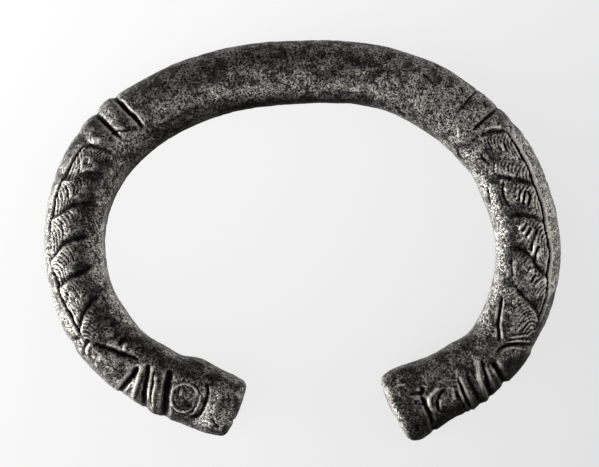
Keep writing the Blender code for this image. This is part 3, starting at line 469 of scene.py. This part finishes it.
def smooth_line(points, count):
    """Places evenly spread on the natural cubic curve through the points."""
    points = np.array(points, dtype=float)
    spans = np.linalg.norm(np.diff(points, axis=0), axis=1)
    knots = np.concatenate([[0], np.cumsum(spans)])
    last = len(points) - 1
    bends = np.zeros_like(points)
    if last > 1:
        matrix = np.eye(last + 1)
        right = np.zeros_like(points)
        for k in range(1, last):
            matrix[k, k - 1:k + 2] = spans[k - 1], 2 * (spans[k - 1] + spans[k]), spans[k]
            before = (points[k] - points[k - 1]) / spans[k - 1]
            after = (points[k + 1] - points[k]) / spans[k]
            right[k] = 6 * (after - before)
        bends = np.linalg.solve(matrix, right)
    places = np.linspace(0, knots[-1], count)
    k = np.clip(np.searchsorted(knots, places, side="right") - 1, 0, last - 1)
    step = (places - knots[k])[:, None]
    span = spans[k][:, None]
    slope = (points[k + 1] - points[k]) / span - span * (2 * bends[k] + bends[k + 1]) / 6
    bow = bends[k] * step ** 2 / 2 + (bends[k + 1] - bends[k]) / (6 * span) * step ** 3
    return points[k] + slope * step + bow


def read_table(table, along):
    """The smooth curve through a table's (along, value) pairs, read at each place along."""
    line = smooth_line(table, LINE_STEPS)
    return np.interp(along, line[:, 0], line[:, 1])


def rise(value, start, end):
    """0 before start, 1 after end, and smooth between."""
    share = np.clip((value - start) / (end - start), 0, 1)
    return share * share * (3 - 2 * share)


def hump(distance, reach):
    """1 at no distance, 0 beyond reach, and smooth between."""
    share = np.clip(np.abs(distance) / reach, 0, 1)
    return (1 + np.cos(pi * share)) / 2


def line_distance(along, across, line):
    """How far each place is from a line, and how far along the line its nearest point is, 0 to 1."""
    nearest = np.full(across.shape, np.inf)
    share = np.zeros(across.shape)
    steps = len(line) - 1
    for k in range(steps):
        run = line[k + 1] - line[k]
        off_along = along - line[k, 0]
        off_across = across - line[k, 1]
        part = np.clip((off_along * run[0] + off_across * run[1]) / (run @ run), 0, 1)
        distance = np.hypot(off_along - part * run[0], off_across - part * run[1])
        closer = distance < nearest
        nearest = np.where(closer, distance, nearest)
        share = np.where(closer, (k + part) / steps, share)
    return nearest, share


def inside_outline(along, across, line):
    """True for the places inside a closed line."""
    inside = np.zeros(across.shape, dtype=bool)
    for start, end in zip(line, np.roll(line, -1, axis=0)):
        if start[1] == end[1]:
            continue
        between = (across < start[1]) != (across < end[1])
        crossing = start[0] + (across - start[1]) * (end[0] - start[0]) / (end[1] - start[1])
        inside ^= between & (along < crossing)
    return inside


def noise(points, size, seed):
    """Smooth noise between -1 and 1, in lumps of the given size."""
    lattice = np.random.default_rng(seed).uniform(-1, 1, (NOISE_CELLS,) * 3)
    scaled = points / size
    cell = np.floor(scaled).astype(int)
    part = scaled - cell
    part = part * part * (3 - 2 * part)
    total = np.zeros(points.shape[:-1])
    for corner in product((0, 1), repeat=3):
        weight = np.prod(np.where(corner, part, 1 - part), axis=-1)
        place = (cell + np.array(corner)) % NOISE_CELLS
        total += weight * lattice[place[..., 0], place[..., 1], place[..., 2]]
    return total


# The carving, as heights over the plain bar

def kept_depth(across):
    """The share of a cut that wear has left."""
    return 1 - EDGE_WEAR * rise(across, *EDGE_WEAR_BAND)


def beside(along, line, reach):
    """True for the places whose distance along the bar lets them be within reach of a line."""
    return (along > line[:, 0].min() - reach) & (along < line[:, 0].max() + reach)


def marks(along, across, listed):
    height = np.zeros(across.shape)
    for rise_or_cut, reach, points in listed:
        line = smooth_line(points, MARK_STEPS)
        near = beside(along, line, reach)
        distance, share = line_distance(along[near], across[near], line)
        taper = rise(share, 0, 0.15) * rise(1 - share, 0, 0.15)
        height[near] += rise_or_cut * hump(distance, reach) * taper
    return height * kept_depth(across)


def stains_and_painted_light(along, across, up, listed):
    """How dark the patina and the painted shade are on the upper side, and below 0 how far it is worn off or
    painted brighter.
    """
    total = np.zeros(across.shape)
    for share, reach, points in listed:
        line = smooth_line(points, MARK_STEPS)
        near = beside(along, line, reach)
        distance, _ = line_distance(along[near], across[near], line)
        total[near] += share * hump(distance, reach)
    return np.clip(total, -1, 1) * rise(up, *UPPER_BAND)


def ear(along, across, plate):
    height, slope, points = plate
    line = smooth_line(points, OUTLINE_STEPS)
    distance, _ = line_distance(along, across, line)
    inside = inside_outline(along, across, line)
    return height * np.where(inside, rise(distance, 0, slope), 0)


def eye(along, across, place):
    (centre_along, centre_across), clearness = place
    distance = np.hypot(along - centre_along, across - centre_across)
    ball = EYE_RISE * np.clip(1 - (distance / (EYE_RADIUS * PUPIL_SHARE)) ** 2, 0, 1)
    lid = LID_RISE * hump(distance - EYE_RADIUS, LID_REACH)
    return clearness * (ball + lid)


def crest(along, across, table, depths):
    """The band over the mane's spine, raised above the groove along its lower edge."""
    edge = read_table(table, along)
    first, last = table[0][0], table[-1][0]
    here = rise(along, first - 0.1, first + 0.3) * rise(-along, -last - 0.1, -last + 0.3)
    band = CREST_RISE * rise(across - edge, 0, 2 * CREST_GROOVE_REACH)
    depth = CREST_GROOVE * np.interp(along, *np.transpose(depths))
    return here * (band - depth * hump(across - edge, CREST_GROOVE_REACH))


def hatching(along, across, table, span, wander):
    """Fine cuts across the crest."""
    edge = read_table(table, along)
    here = rise(along, span[0], span[0] + 0.4) * rise(-along, -span[1], -span[1] + 0.4)
    phase = (along + HATCH_SLANT * across) / HATCH_PITCH + wander
    cuts = (1 - np.cos(2 * pi * phase)) / 2
    return -HATCH_DEPTH * here * cuts * rise(across - edge, 0.05, 0.20) * rise(-across, -0.98, -0.85)


def tufts(along, across, edges, first, crest_table, wander, upper):
    """Overlapping tufts of strands: each rises away from the head and drops at its far edge."""
    dome, top, reach = TUFT_DOME
    height = np.zeros(across.shape)
    root = np.full(across.shape, first)
    high = rise(across, *STRAND_BAND)
    length = STRAND_LENGTH[0] + (STRAND_LENGTH[1] - STRAND_LENGTH[0]) * high
    slant = STRAND_SLANT[0] + (STRAND_SLANT[1] - STRAND_SLANT[0]) * high
    for clearness, points in edges:
        line = smooth_line(points, MARK_STEPS)[::-1]
        tip = np.interp(across, line[:, 1], line[:, 0])
        share = np.clip((along - root) / (tip - root), 0, 1)
        height += clearness * TUFT_RISE * share ** 2 * (1 - rise(along - tip, *TUFT_DROP))
        height -= clearness * TUFT_GROOVE * hump(along - tip - TUFT_DROP[1], TUFT_GROOVE_REACH)
        height += dome * hump(across - top, reach) * np.sqrt(hump(share - 0.5, 0.5))
        back = tip - along
        bent = np.clip(back, 0, STRAND_BEND)
        drift = slant * (bent - bent ** 2 / (2 * STRAND_BEND))
        phase = (across + drift) / STRAND_PITCH + STRAND_WANDER * wander
        strands = rise(back, -0.02, 0.06) * rise(length - back, 0, 0.3) * (along > root)
        height -= upper * STRAND_DEPTH * strands * (1 - np.cos(2 * pi * phase)) / 2
        root = tip
    edge = read_table(crest_table, along)
    return height * rise(across, *TUFTS_INNER_END) * rise(edge - across, 0, CREST_GROOVE_REACH)


def collars(along, across, grooves, bulges):
    height = np.zeros(across.shape)
    for place, lean, depth, reach in grooves:
        height -= depth * hump(along + lean * across - place, reach) * kept_depth(across)
    for start, end, bulge in bulges:
        height += bulge * np.sqrt(hump(along - (start + end) / 2, (end - start) / 2))
    return height * rise(across, *COLLAR_INNER_END)


def muzzle_front(along, across, up):
    """The mouth's line and the nostrils, seen on the flat front."""
    mouth = MOUTH_DEPTH * hump(across - MOUTH_PLACE, MOUTH_REACH)
    from_nostril = np.hypot(across - NOSTRIL_PLACE[0], np.abs(up) - NOSTRIL_PLACE[1])
    nostril = NOSTRIL_DEPTH * hump(from_nostril, NOSTRIL_REACH)
    return -(mouth + nostril) * rise(-along, -MOUTH_LENGTH, 0)


def left_carving(along, across, up, wander):
    upper = rise(up, *UPPER_BAND)
    return (marks(along, across, LEFT_MARKS)
            + upper * marks(along, across, LEFT_FINE_MARKS)
            + ear(along, across, LEFT_EAR)
            + eye(along, across, LEFT_EYE)
            + crest(along, across, LEFT_CREST, LEFT_CREST_DEPTH)
            + upper * hatching(along, across, LEFT_CREST, LEFT_HATCH_SPAN, wander)
            + tufts(along, across, LEFT_TUFTS, LEFT_FIRST_TUFT, LEFT_CREST, wander, upper)
            + collars(along, across, LEFT_COLLAR_GROOVES, LEFT_COLLAR_BULGES)
            + muzzle_front(along, across, up))


def right_carving(along, across, up, wander):
    upper = rise(up, *UPPER_BAND)
    return (marks(along, across, RIGHT_MARKS)
            + upper * marks(along, across, RIGHT_FINE_MARKS)
            + ear(along, across, RIGHT_EAR)
            + eye(along, across, RIGHT_EYE)
            + crest(along, across, RIGHT_CREST, RIGHT_CREST_DEPTH)
            + upper * hatching(along, across, RIGHT_CREST, RIGHT_HATCH_SPAN, wander)
            + tufts(along, across, RIGHT_TUFTS, RIGHT_FIRST_TUFT, RIGHT_CREST, wander, upper)
            + collars(along, across, RIGHT_COLLAR_GROOVES, RIGHT_COLLAR_BULGES)
            + muzzle_front(along, across, up))


def age(points, across):
    """Dents, pits and grain of the old surface, stronger where the metal is pitted."""
    pitted = rise(across, *PITTED_BAND[:2]) * rise(-across, -PITTED_BAND[3], -PITTED_BAND[2])
    share = PLAIN_SHARE + (1 - PLAIN_SHARE) * pitted
    dents = DENTS[1] * noise(points, DENTS[0], 1)
    pits = PITS[1] * np.minimum(noise(points, PITS[0], 2) + 0.2, 0.3)
    grains = GRAINS[1] * noise(points, GRAINS[0], 3)
    return dents + share * (pits + grains)


# The hoop's form

def hoop_line():
    """Distance along the middle of the bar, with the place, the direction and the outward side there."""
    half_size = np.array([HOOP_WIDTH, HOOP_DEPTH]) / 2
    places = smooth_line(np.array(HOOP_LINE) * half_size, LINE_STEPS)
    steps = np.linalg.norm(np.diff(places, axis=0), axis=1)
    distance = np.concatenate([[0], np.cumsum(steps)])
    direction = np.gradient(places, distance, axis=0)
    direction /= np.linalg.norm(direction, axis=1)[:, None]
    outward = np.stack([-direction[:, 1], direction[:, 0]], axis=1)
    return distance, places, direction, outward


def row_places(length):
    """How far along the hoop each row is, and what share of the full section it has."""
    face_share = 1 - MUZZLE_ROUND / HALF
    face = np.linspace(0, 1, FACE_ROWS, endpoint=False)
    turn = np.linspace(pi / 2, 0, ROUND_ROWS, endpoint=False)
    end_stations = np.concatenate([-MUZZLE_SWELL * (1 - face ** 2), MUZZLE_ROUND * (1 - np.sin(turn))])
    end_shares = np.concatenate([face_share * face, 1 - (1 - face_share) * (1 - np.cos(turn))])
    arm_end = ARM_LENGTH * HALF
    arm = np.linspace(MUZZLE_ROUND, arm_end, round(arm_end / ARM_ROW_STEP), endpoint=False)
    back_length = length - 2 * arm_end
    back = np.linspace(0, back_length, round(back_length / BACK_ROW_STEP)) + arm_end
    stations = np.concatenate([end_stations, arm, back, length - arm[::-1], length - end_stations[::-1]])
    body_rows = len(stations) - 2 * len(end_stations)
    shares = np.concatenate([end_shares, np.ones(body_rows), end_shares[::-1]])
    return stations, shares


def column_places():
    """Where round the section the columns are, as shares of its length, closer on the upper side."""
    start, end = UPPER_SHARE
    upper = np.linspace(start, end, UPPER_COLUMNS, endpoint=False)
    lower = np.linspace(end, 1 + start, LOWER_COLUMNS, endpoint=False)
    return np.concatenate([upper, lower])


def section(outer, inner, height, outer_power, inner_power, columns):
    """One section of the plain bar as (across, up) points, from the outer edge over the top."""
    angle = np.linspace(0, 2 * pi, SECTION_STEPS + 1)
    is_outer = np.cos(angle) >= 0
    power = np.where(is_outer, outer_power, inner_power)
    reach = np.where(is_outer, outer, inner)
    across = reach * np.sign(np.cos(angle)) * np.abs(np.cos(angle)) ** (2 / power)
    up = height * np.sign(np.sin(angle)) * np.abs(np.sin(angle)) ** (2 / power)
    steps = np.hypot(np.diff(across), np.diff(up))
    distance = np.concatenate([[0], np.cumsum(steps)]) / steps.sum()
    return np.interp(columns % 1, distance, across), np.interp(columns % 1, distance, up)


def both_arms(stations, length, left_table, right_table):
    """A size along the whole bar, read from each arm's table and passing over at the middle of the back."""
    left = read_table(left_table, stations / HALF)
    right = read_table(right_table, (length - stations) / HALF)
    return left + (right - left) * rise(stations / length, *MIDDLE_OF_BACK)


def plain_sections(stations, length, columns):
    """The plain bar's section at every row, in metres."""
    outer = both_arms(stations, length, LEFT_OUTER, RIGHT_OUTER)
    inner = both_arms(stations, length, LEFT_INNER, RIGHT_INNER)
    height = both_arms(stations, length, LEFT_HEIGHT, RIGHT_HEIGHT)
    snout = 1 - rise(np.minimum(stations, length - stations), 0, SNOUT_LENGTH * HALF)
    outer_power = OUTER_SQUARENESS + snout * (MUZZLE_SQUARENESS - OUTER_SQUARENESS)
    inner_power = INNER_SQUARENESS + snout * (MUZZLE_SQUARENESS - INNER_SQUARENESS)
    across = np.empty((len(stations), len(columns)))
    up = np.empty((len(stations), len(columns)))
    for row in range(len(stations)):
        across[row], up[row] = section(outer[row] * HALF, inner[row] * HALF, height[row] * BAR_HEIGHT / 2,
                                       outer_power[row], inner_power[row], columns)
    return across, up


def place_on_hoop(stations, across, up):
    """Points in space for places given by station, across and up, past the ends in a straight line."""
    distance, places, direction, outward = hoop_line()
    inside = np.clip(stations, 0, distance[-1])
    middle = np.stack([np.interp(inside, distance, places[:, k]) for k in range(2)], axis=1)
    ahead = np.stack([np.interp(inside, distance, direction[:, k]) for k in range(2)], axis=1)
    side = np.stack([np.interp(inside, distance, outward[:, k]) for k in range(2)], axis=1)
    middle += ahead * (stations - inside)[:, None]
    points = np.empty(across.shape + (3,))
    points[..., :2] = middle[:, None, :] + side[:, None, :] * across[..., None]
    points[..., 2] = up
    return points


def surface_normals(points):
    """Outward normals of the grid of points, whose columns close on themselves."""
    by_row = np.gradient(points, axis=0)
    by_column = np.roll(points, -1, axis=1) - np.roll(points, 1, axis=1)
    normals = np.cross(by_column, by_row)
    size = np.linalg.norm(normals, axis=2, keepdims=True)
    return normals / np.maximum(size, 1e-12)


def blurred(values):
    """Values on the grid, each mixed with its neighbours a few times."""
    for _ in range(BLUR_PASSES):
        values = (np.roll(values, 1, axis=1) + 2 * values + np.roll(values, -1, axis=1)) / 4
        padded = np.concatenate([values[:1], values, values[-1:]])
        values = (padded[:-2] + 2 * padded[1:-1] + padded[2:]) / 4
    return values


def carved_grid():
    """The points of the carved, aged bar, how far each stands over its surroundings, and its patina and wear
    with painted shade and painted highlights.
    """
    length = hoop_line()[0][-1]
    stations, shares = row_places(length)
    across, up = plain_sections(stations, length, column_places())
    across *= shares[:, None]
    up *= shares[:, None]
    points = place_on_hoop(stations, across, up)
    from_left = (np.maximum(stations, 0) / HALF)[:, None] + np.zeros_like(across)
    from_right = (np.maximum(length - stations, 0) / HALF)[:, None] + np.zeros_like(across)
    wander = noise(points, 0.0014, 4)
    left = stations < length / 2
    right = ~left
    across /= HALF
    up /= HALF
    height = np.empty(across.shape)
    height[left] = left_carving(from_left[left], across[left], up[left], wander[left])
    height[right] = right_carving(from_right[right], across[right], up[right], wander[right])
    height += age(points, across)
    # Patina and wear, together with painted shade and painted highlights
    stain_and_painted_light = np.empty(across.shape)
    stain_and_painted_light[left] = stains_and_painted_light(from_left[left], across[left], up[left], LEFT_STAINS_AND_PAINTED_LIGHT)
    stain_and_painted_light[right] = stains_and_painted_light(from_right[right], across[right], up[right], RIGHT_STAINS_AND_PAINTED_LIGHT)
    carved = points + surface_normals(points) * (height * HALF)[..., None]
    return carved, height - blurred(height), stain_and_painted_light


def closed_mesh(name, points):
    """A closed mesh over a grid whose first and last rows are single points."""
    rows, columns = points.shape[:2]
    corner = np.arange(1, 1 + (rows - 2) * columns).reshape(rows - 2, columns)
    after = np.roll(corner, -1, axis=1)
    last = 1 + (rows - 2) * columns
    faces = [(0, b, a) for a, b in zip(corner[0].tolist(), after[0].tolist())]
    strip = np.stack([corner[:-1], after[:-1], after[1:], corner[1:]], axis=2)
    faces += strip.reshape(-1, 4).tolist()
    faces += [(last, a, b) for a, b in zip(corner[-1].tolist(), after[-1].tolist())]
    mesh = bpy.data.meshes.new(name)
    mesh.from_pydata(on_vertices(points).tolist(), [], faces)
    mesh.shade_smooth()
    return mesh


def on_vertices(values):
    """Values on the grid in the order of the mesh's vertices."""
    middle = values[1:-1].reshape((-1,) + values.shape[2:])
    return np.concatenate([values[0, :1], middle, values[-1, :1]])


def seated(points):
    """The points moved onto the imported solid's place, and worn flat where they rest."""
    low, high = [np.array(corner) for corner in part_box("bracelet")]
    own_low = points.reshape(-1, 3).min(axis=0)
    own_high = points.reshape(-1, 3).max(axis=0)
    points = points + (low + high) / 2 - (own_low + own_high) / 2
    points[..., 2] += high[2] - points[..., 2].max()
    points[..., 2] = np.maximum(points[..., 2], low[2])
    return points


# Nodes

def add_node(tree, kind, settings=None, **inputs):
    """A node whose settings and inputs are given by name; a socket is linked, a value is set."""
    node = tree.nodes.new(kind)
    for name, value in (settings or {}).items():
        setattr(node, name, value)
    for name, value in inputs.items():
        socket = node.inputs[int(name[1:])] if name[0] == "i" and name[1:].isdigit() else node.inputs[name]
        if isinstance(value, bpy.types.NodeSocket):
            tree.links.new(value, socket)
        else:
            socket.default_value = value
    return node


def maths(tree, operation, first, second=0.0):
    return add_node(tree, "ShaderNodeMath", {"operation": operation}, i0=first, i1=second).outputs[0]


def remap(tree, value, low, high, to_low, to_high):
    node = add_node(tree, "ShaderNodeMapRange", {"interpolation_type": "SMOOTHSTEP"},
                    i0=value, i1=low, i2=high, i3=to_low, i4=to_high)
    return node.outputs[0]


def mixed(tree, share, first, second):
    """A colour between two."""
    node = add_node(tree, "ShaderNodeMix", {"data_type": "RGBA"})
    for socket, value in zip((node.inputs[0], node.inputs[6], node.inputs[7]), (share, first, second)):
        if isinstance(value, bpy.types.NodeSocket):
            tree.links.new(value, socket)
        else:
            socket.default_value = value
    return node.outputs[2]


# The dark patina, which also serves as painted shade in the cuts and pits and on the shaded sides; the bronze;
# and worn bronze, which also serves as painted highlight
DARK_BRONZE = (0.0040, 0.0038, 0.0036, 1)
BRONZE = (0.520, 0.498, 0.454, 1)
WORN_AND_HIGHLIT_BRONZE = (0.820, 0.790, 0.725, 1)


def bronze():
    """Dark patinated bronze: dull and dark in the cuts and pits, partly patina and partly painted shade,
    brighter where it is worn, with painted shade and painted highlights from the patina table.
    """
    material = bpy.data.materials.new("bronze")
    material.use_nodes = True
    tree = material.node_tree
    shader = tree.nodes["Principled BSDF"]
    place = add_node(tree, "ShaderNodeTexCoord").outputs["Object"]
    stands = add_node(tree, "ShaderNodeAttribute", {"attribute_name": "stands"}).outputs["Fac"]
    stain_and_painted_light = add_node(tree, "ShaderNodeAttribute", {"attribute_name": "stain_and_painted_light"}).outputs["Fac"]
    # Darker patina with painted shade, and worn-off patina with painted highlights, from the table
    dark_patina_and_shade = maths(tree, "MAXIMUM", stain_and_painted_light, 0.0)
    bare_and_highlit = maths(tree, "MAXIMUM", maths(tree, "MULTIPLY", stain_and_painted_light, -1.0), 0.0)
    cloud = add_node(tree, "ShaderNodeTexNoise", Vector=place, Scale=560.0, Detail=4.0, Roughness=0.65)
    grain = add_node(tree, "ShaderNodeTexNoise", Vector=place, Scale=3300.0, Detail=2.0, Roughness=0.7,
                     Distortion=0.6)
    # Dark in the cuts and pits: patina, and painted shade
    hollow_patina_and_shade = remap(tree, stands, -0.026, 0.000, 1.0, 0.0)
    worn = remap(tree, stands, 0.004, 0.030, 0.0, 1.0)
    speckle = remap(tree, grain.outputs["Fac"], 0.45, 0.57, 0.04, 1.0)
    speckle = maths(tree, "MAXIMUM", speckle, maths(tree, "MULTIPLY", worn, 0.70))
    patch = remap(tree, cloud.outputs["Fac"], 0.41, 0.59, 0.18, 1.0)
    clean_and_unshaded = maths(tree, "MULTIPLY", speckle, maths(tree, "SUBTRACT", 1.0, maths(tree, "MULTIPLY", dark_patina_and_shade, 0.85)))
    cover = maths(tree, "MULTIPLY", patch, clean_and_unshaded)
    bright = maths(tree, "MULTIPLY", bare_and_highlit, speckle)
    cover = maths(tree, "ADD", cover, maths(tree, "MULTIPLY", bright, 0.5))
    colour = mixed(tree, cover, DARK_BRONZE, BRONZE)
    # Worn high points, and painted highlights from the table
    worn = maths(tree, "ADD", maths(tree, "MULTIPLY", worn, 0.75), maths(tree, "MULTIPLY", bare_and_highlit, 0.3))
    colour = mixed(tree, maths(tree, "MULTIPLY", worn, clean_and_unshaded), colour, WORN_AND_HIGHLIT_BRONZE)
    colour = mixed(tree, hollow_patina_and_shade, colour, DARK_BRONZE)
    rough = maths(tree, "SUBTRACT", 0.46, maths(tree, "MULTIPLY", cover, 0.20))
    rough = maths(tree, "ADD", rough, maths(tree, "MULTIPLY", hollow_patina_and_shade, 0.2))
    tree.links.new(colour, shader.inputs["Base Color"])
    tree.links.new(rough, shader.inputs["Roughness"])
    shader.inputs["Metallic"].default_value = 0.9
    fine = add_node(tree, "ShaderNodeBump", Strength=0.8, Distance=0.00016, Height=grain.outputs["Fac"])
    tree.links.new(fine.outputs[0], shader.inputs["Normal"])
    return material


def bracelet():
    points, stands, stain_and_painted_light = carved_grid()
    mesh = closed_mesh("bronze_bracelet", seated(points))
    # The second attribute carries patina and wear together with painted shade and painted highlights
    for name, values in (("stands", stands), ("stain_and_painted_light", stain_and_painted_light)):
        attribute = mesh.attributes.new(name, "FLOAT", "POINT")
        attribute.data.foreach_set("value", on_vertices(values).astype(np.float32))
    mesh.materials.append(bronze())
    piece = bpy.data.objects.new("bronze_bracelet", mesh)
    bpy.context.scene.collection.objects.link(piece)
    return piece


# The room

FLOOR_RADIUS = 4.0
FLOOR_COLOUR = (0.12, 0.12, 0.12, 1)
# The floor's glow fades from the upper left of the picture to the lower right: glow at the middle,
# fall for each metre along X and Y, and the least and the most glow
FLOOR_GLOW = 0.80
FLOOR_FALL = (-1.9, 1.0)
GLOW_LIMITS = (0.62, 0.95)

# Soft light from all round, as (azimuth, elevation, half angle, strength), over an even glow
EVEN_GLOW = 0.03
GLOWS = (
    (0, 90, 50, 0.08),
    (187, 0, 44, 5.3),
    (187, -45, 46, 2.3),
    (205, 42, 42, 0.7),
    (235, 5, 35, 0.5),
    (8, 38, 42, 1.2),
    (15, -25, 50, 1.2),
    (85, 0, 50, 0.25),
    (90, -55, 45, 0.35),
    (237, 50, 38, 0.9),
)


def floor():
    bpy.ops.mesh.primitive_circle_add(vertices=96, radius=FLOOR_RADIUS, fill_type="NGON")
    plane = bpy.context.active_object
    plane.name = "floor"
    material = bpy.data.materials.new("floor")
    material.use_nodes = True
    shader = material.node_tree.nodes["Principled BSDF"]
    shader.inputs["Base Color"].default_value = FLOOR_COLOUR
    shader.inputs["Roughness"].default_value = 0.9
    shader.inputs["Specular IOR Level"].default_value = 0.1
    shader.inputs["Emission Color"].default_value = (1, 1, 1, 1)
    tree = material.node_tree
    place = add_node(tree, "ShaderNodeTexCoord").outputs["Object"]
    fall = add_node(tree, "ShaderNodeVectorMath", {"operation": "DOT_PRODUCT"}, i0=place, i1=(*FLOOR_FALL, 0))
    glow = maths(tree, "ADD", fall.outputs["Value"], FLOOR_GLOW)
    glow = maths(tree, "MINIMUM", maths(tree, "MAXIMUM", glow, GLOW_LIMITS[0]), GLOW_LIMITS[1])
    tree.links.new(glow, shader.inputs["Emission Strength"])
    plane.data.materials.append(material)
    plane.visible_glossy = False
    plane.visible_shadow = False


def room_light():
    world = bpy.data.worlds.new("studio")
    world.use_nodes = True
    tree = world.node_tree
    toward = add_node(tree, "ShaderNodeTexCoord").outputs["Generated"]
    total = EVEN_GLOW
    for azimuth, elevation, half_angle, strength in GLOWS:
        flat = cos(radians(elevation))
        middle = (flat * cos(radians(azimuth)), flat * sin(radians(azimuth)), sin(radians(elevation)))
        nearness = add_node(tree, "ShaderNodeVectorMath", {"operation": "DOT_PRODUCT"}, i0=toward, i1=middle)
        glow = remap(tree, nearness.outputs["Value"], cos(radians(half_angle)), 1.0, 0.0, strength)
        total = maths(tree, "ADD", glow, total)
    tree.links.new(total, tree.nodes["Background"].inputs["Strength"])
    tree.nodes["Background"].inputs["Color"].default_value = (1, 1, 1, 1)
    bpy.context.scene.world = world


def camera():
    bpy.context.scene.view_settings.view_transform = "Standard"
    data = bpy.data.cameras.new("camera")
    data.sensor_width = SENSOR
    data.lens = SENSOR * (CAMERA_HEIGHT - MIDDLE_HEIGHT) / (IMAGE_WIDTH * PIXEL)
    item = bpy.data.objects.new("camera", data)
    item.location = (*CAMERA_PLACE, CAMERA_HEIGHT)
    bpy.context.scene.collection.objects.link(item)
    bpy.context.scene.camera = item


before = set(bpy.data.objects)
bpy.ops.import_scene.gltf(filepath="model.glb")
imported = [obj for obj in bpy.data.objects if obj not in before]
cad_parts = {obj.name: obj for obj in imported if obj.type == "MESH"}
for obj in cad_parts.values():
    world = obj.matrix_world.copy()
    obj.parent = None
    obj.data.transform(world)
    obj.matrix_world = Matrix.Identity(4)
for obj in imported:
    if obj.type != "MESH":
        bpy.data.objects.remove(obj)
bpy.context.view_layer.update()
piece = bracelet()
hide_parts("bracelet")
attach(piece, "root")
floor()
room_light()
camera()
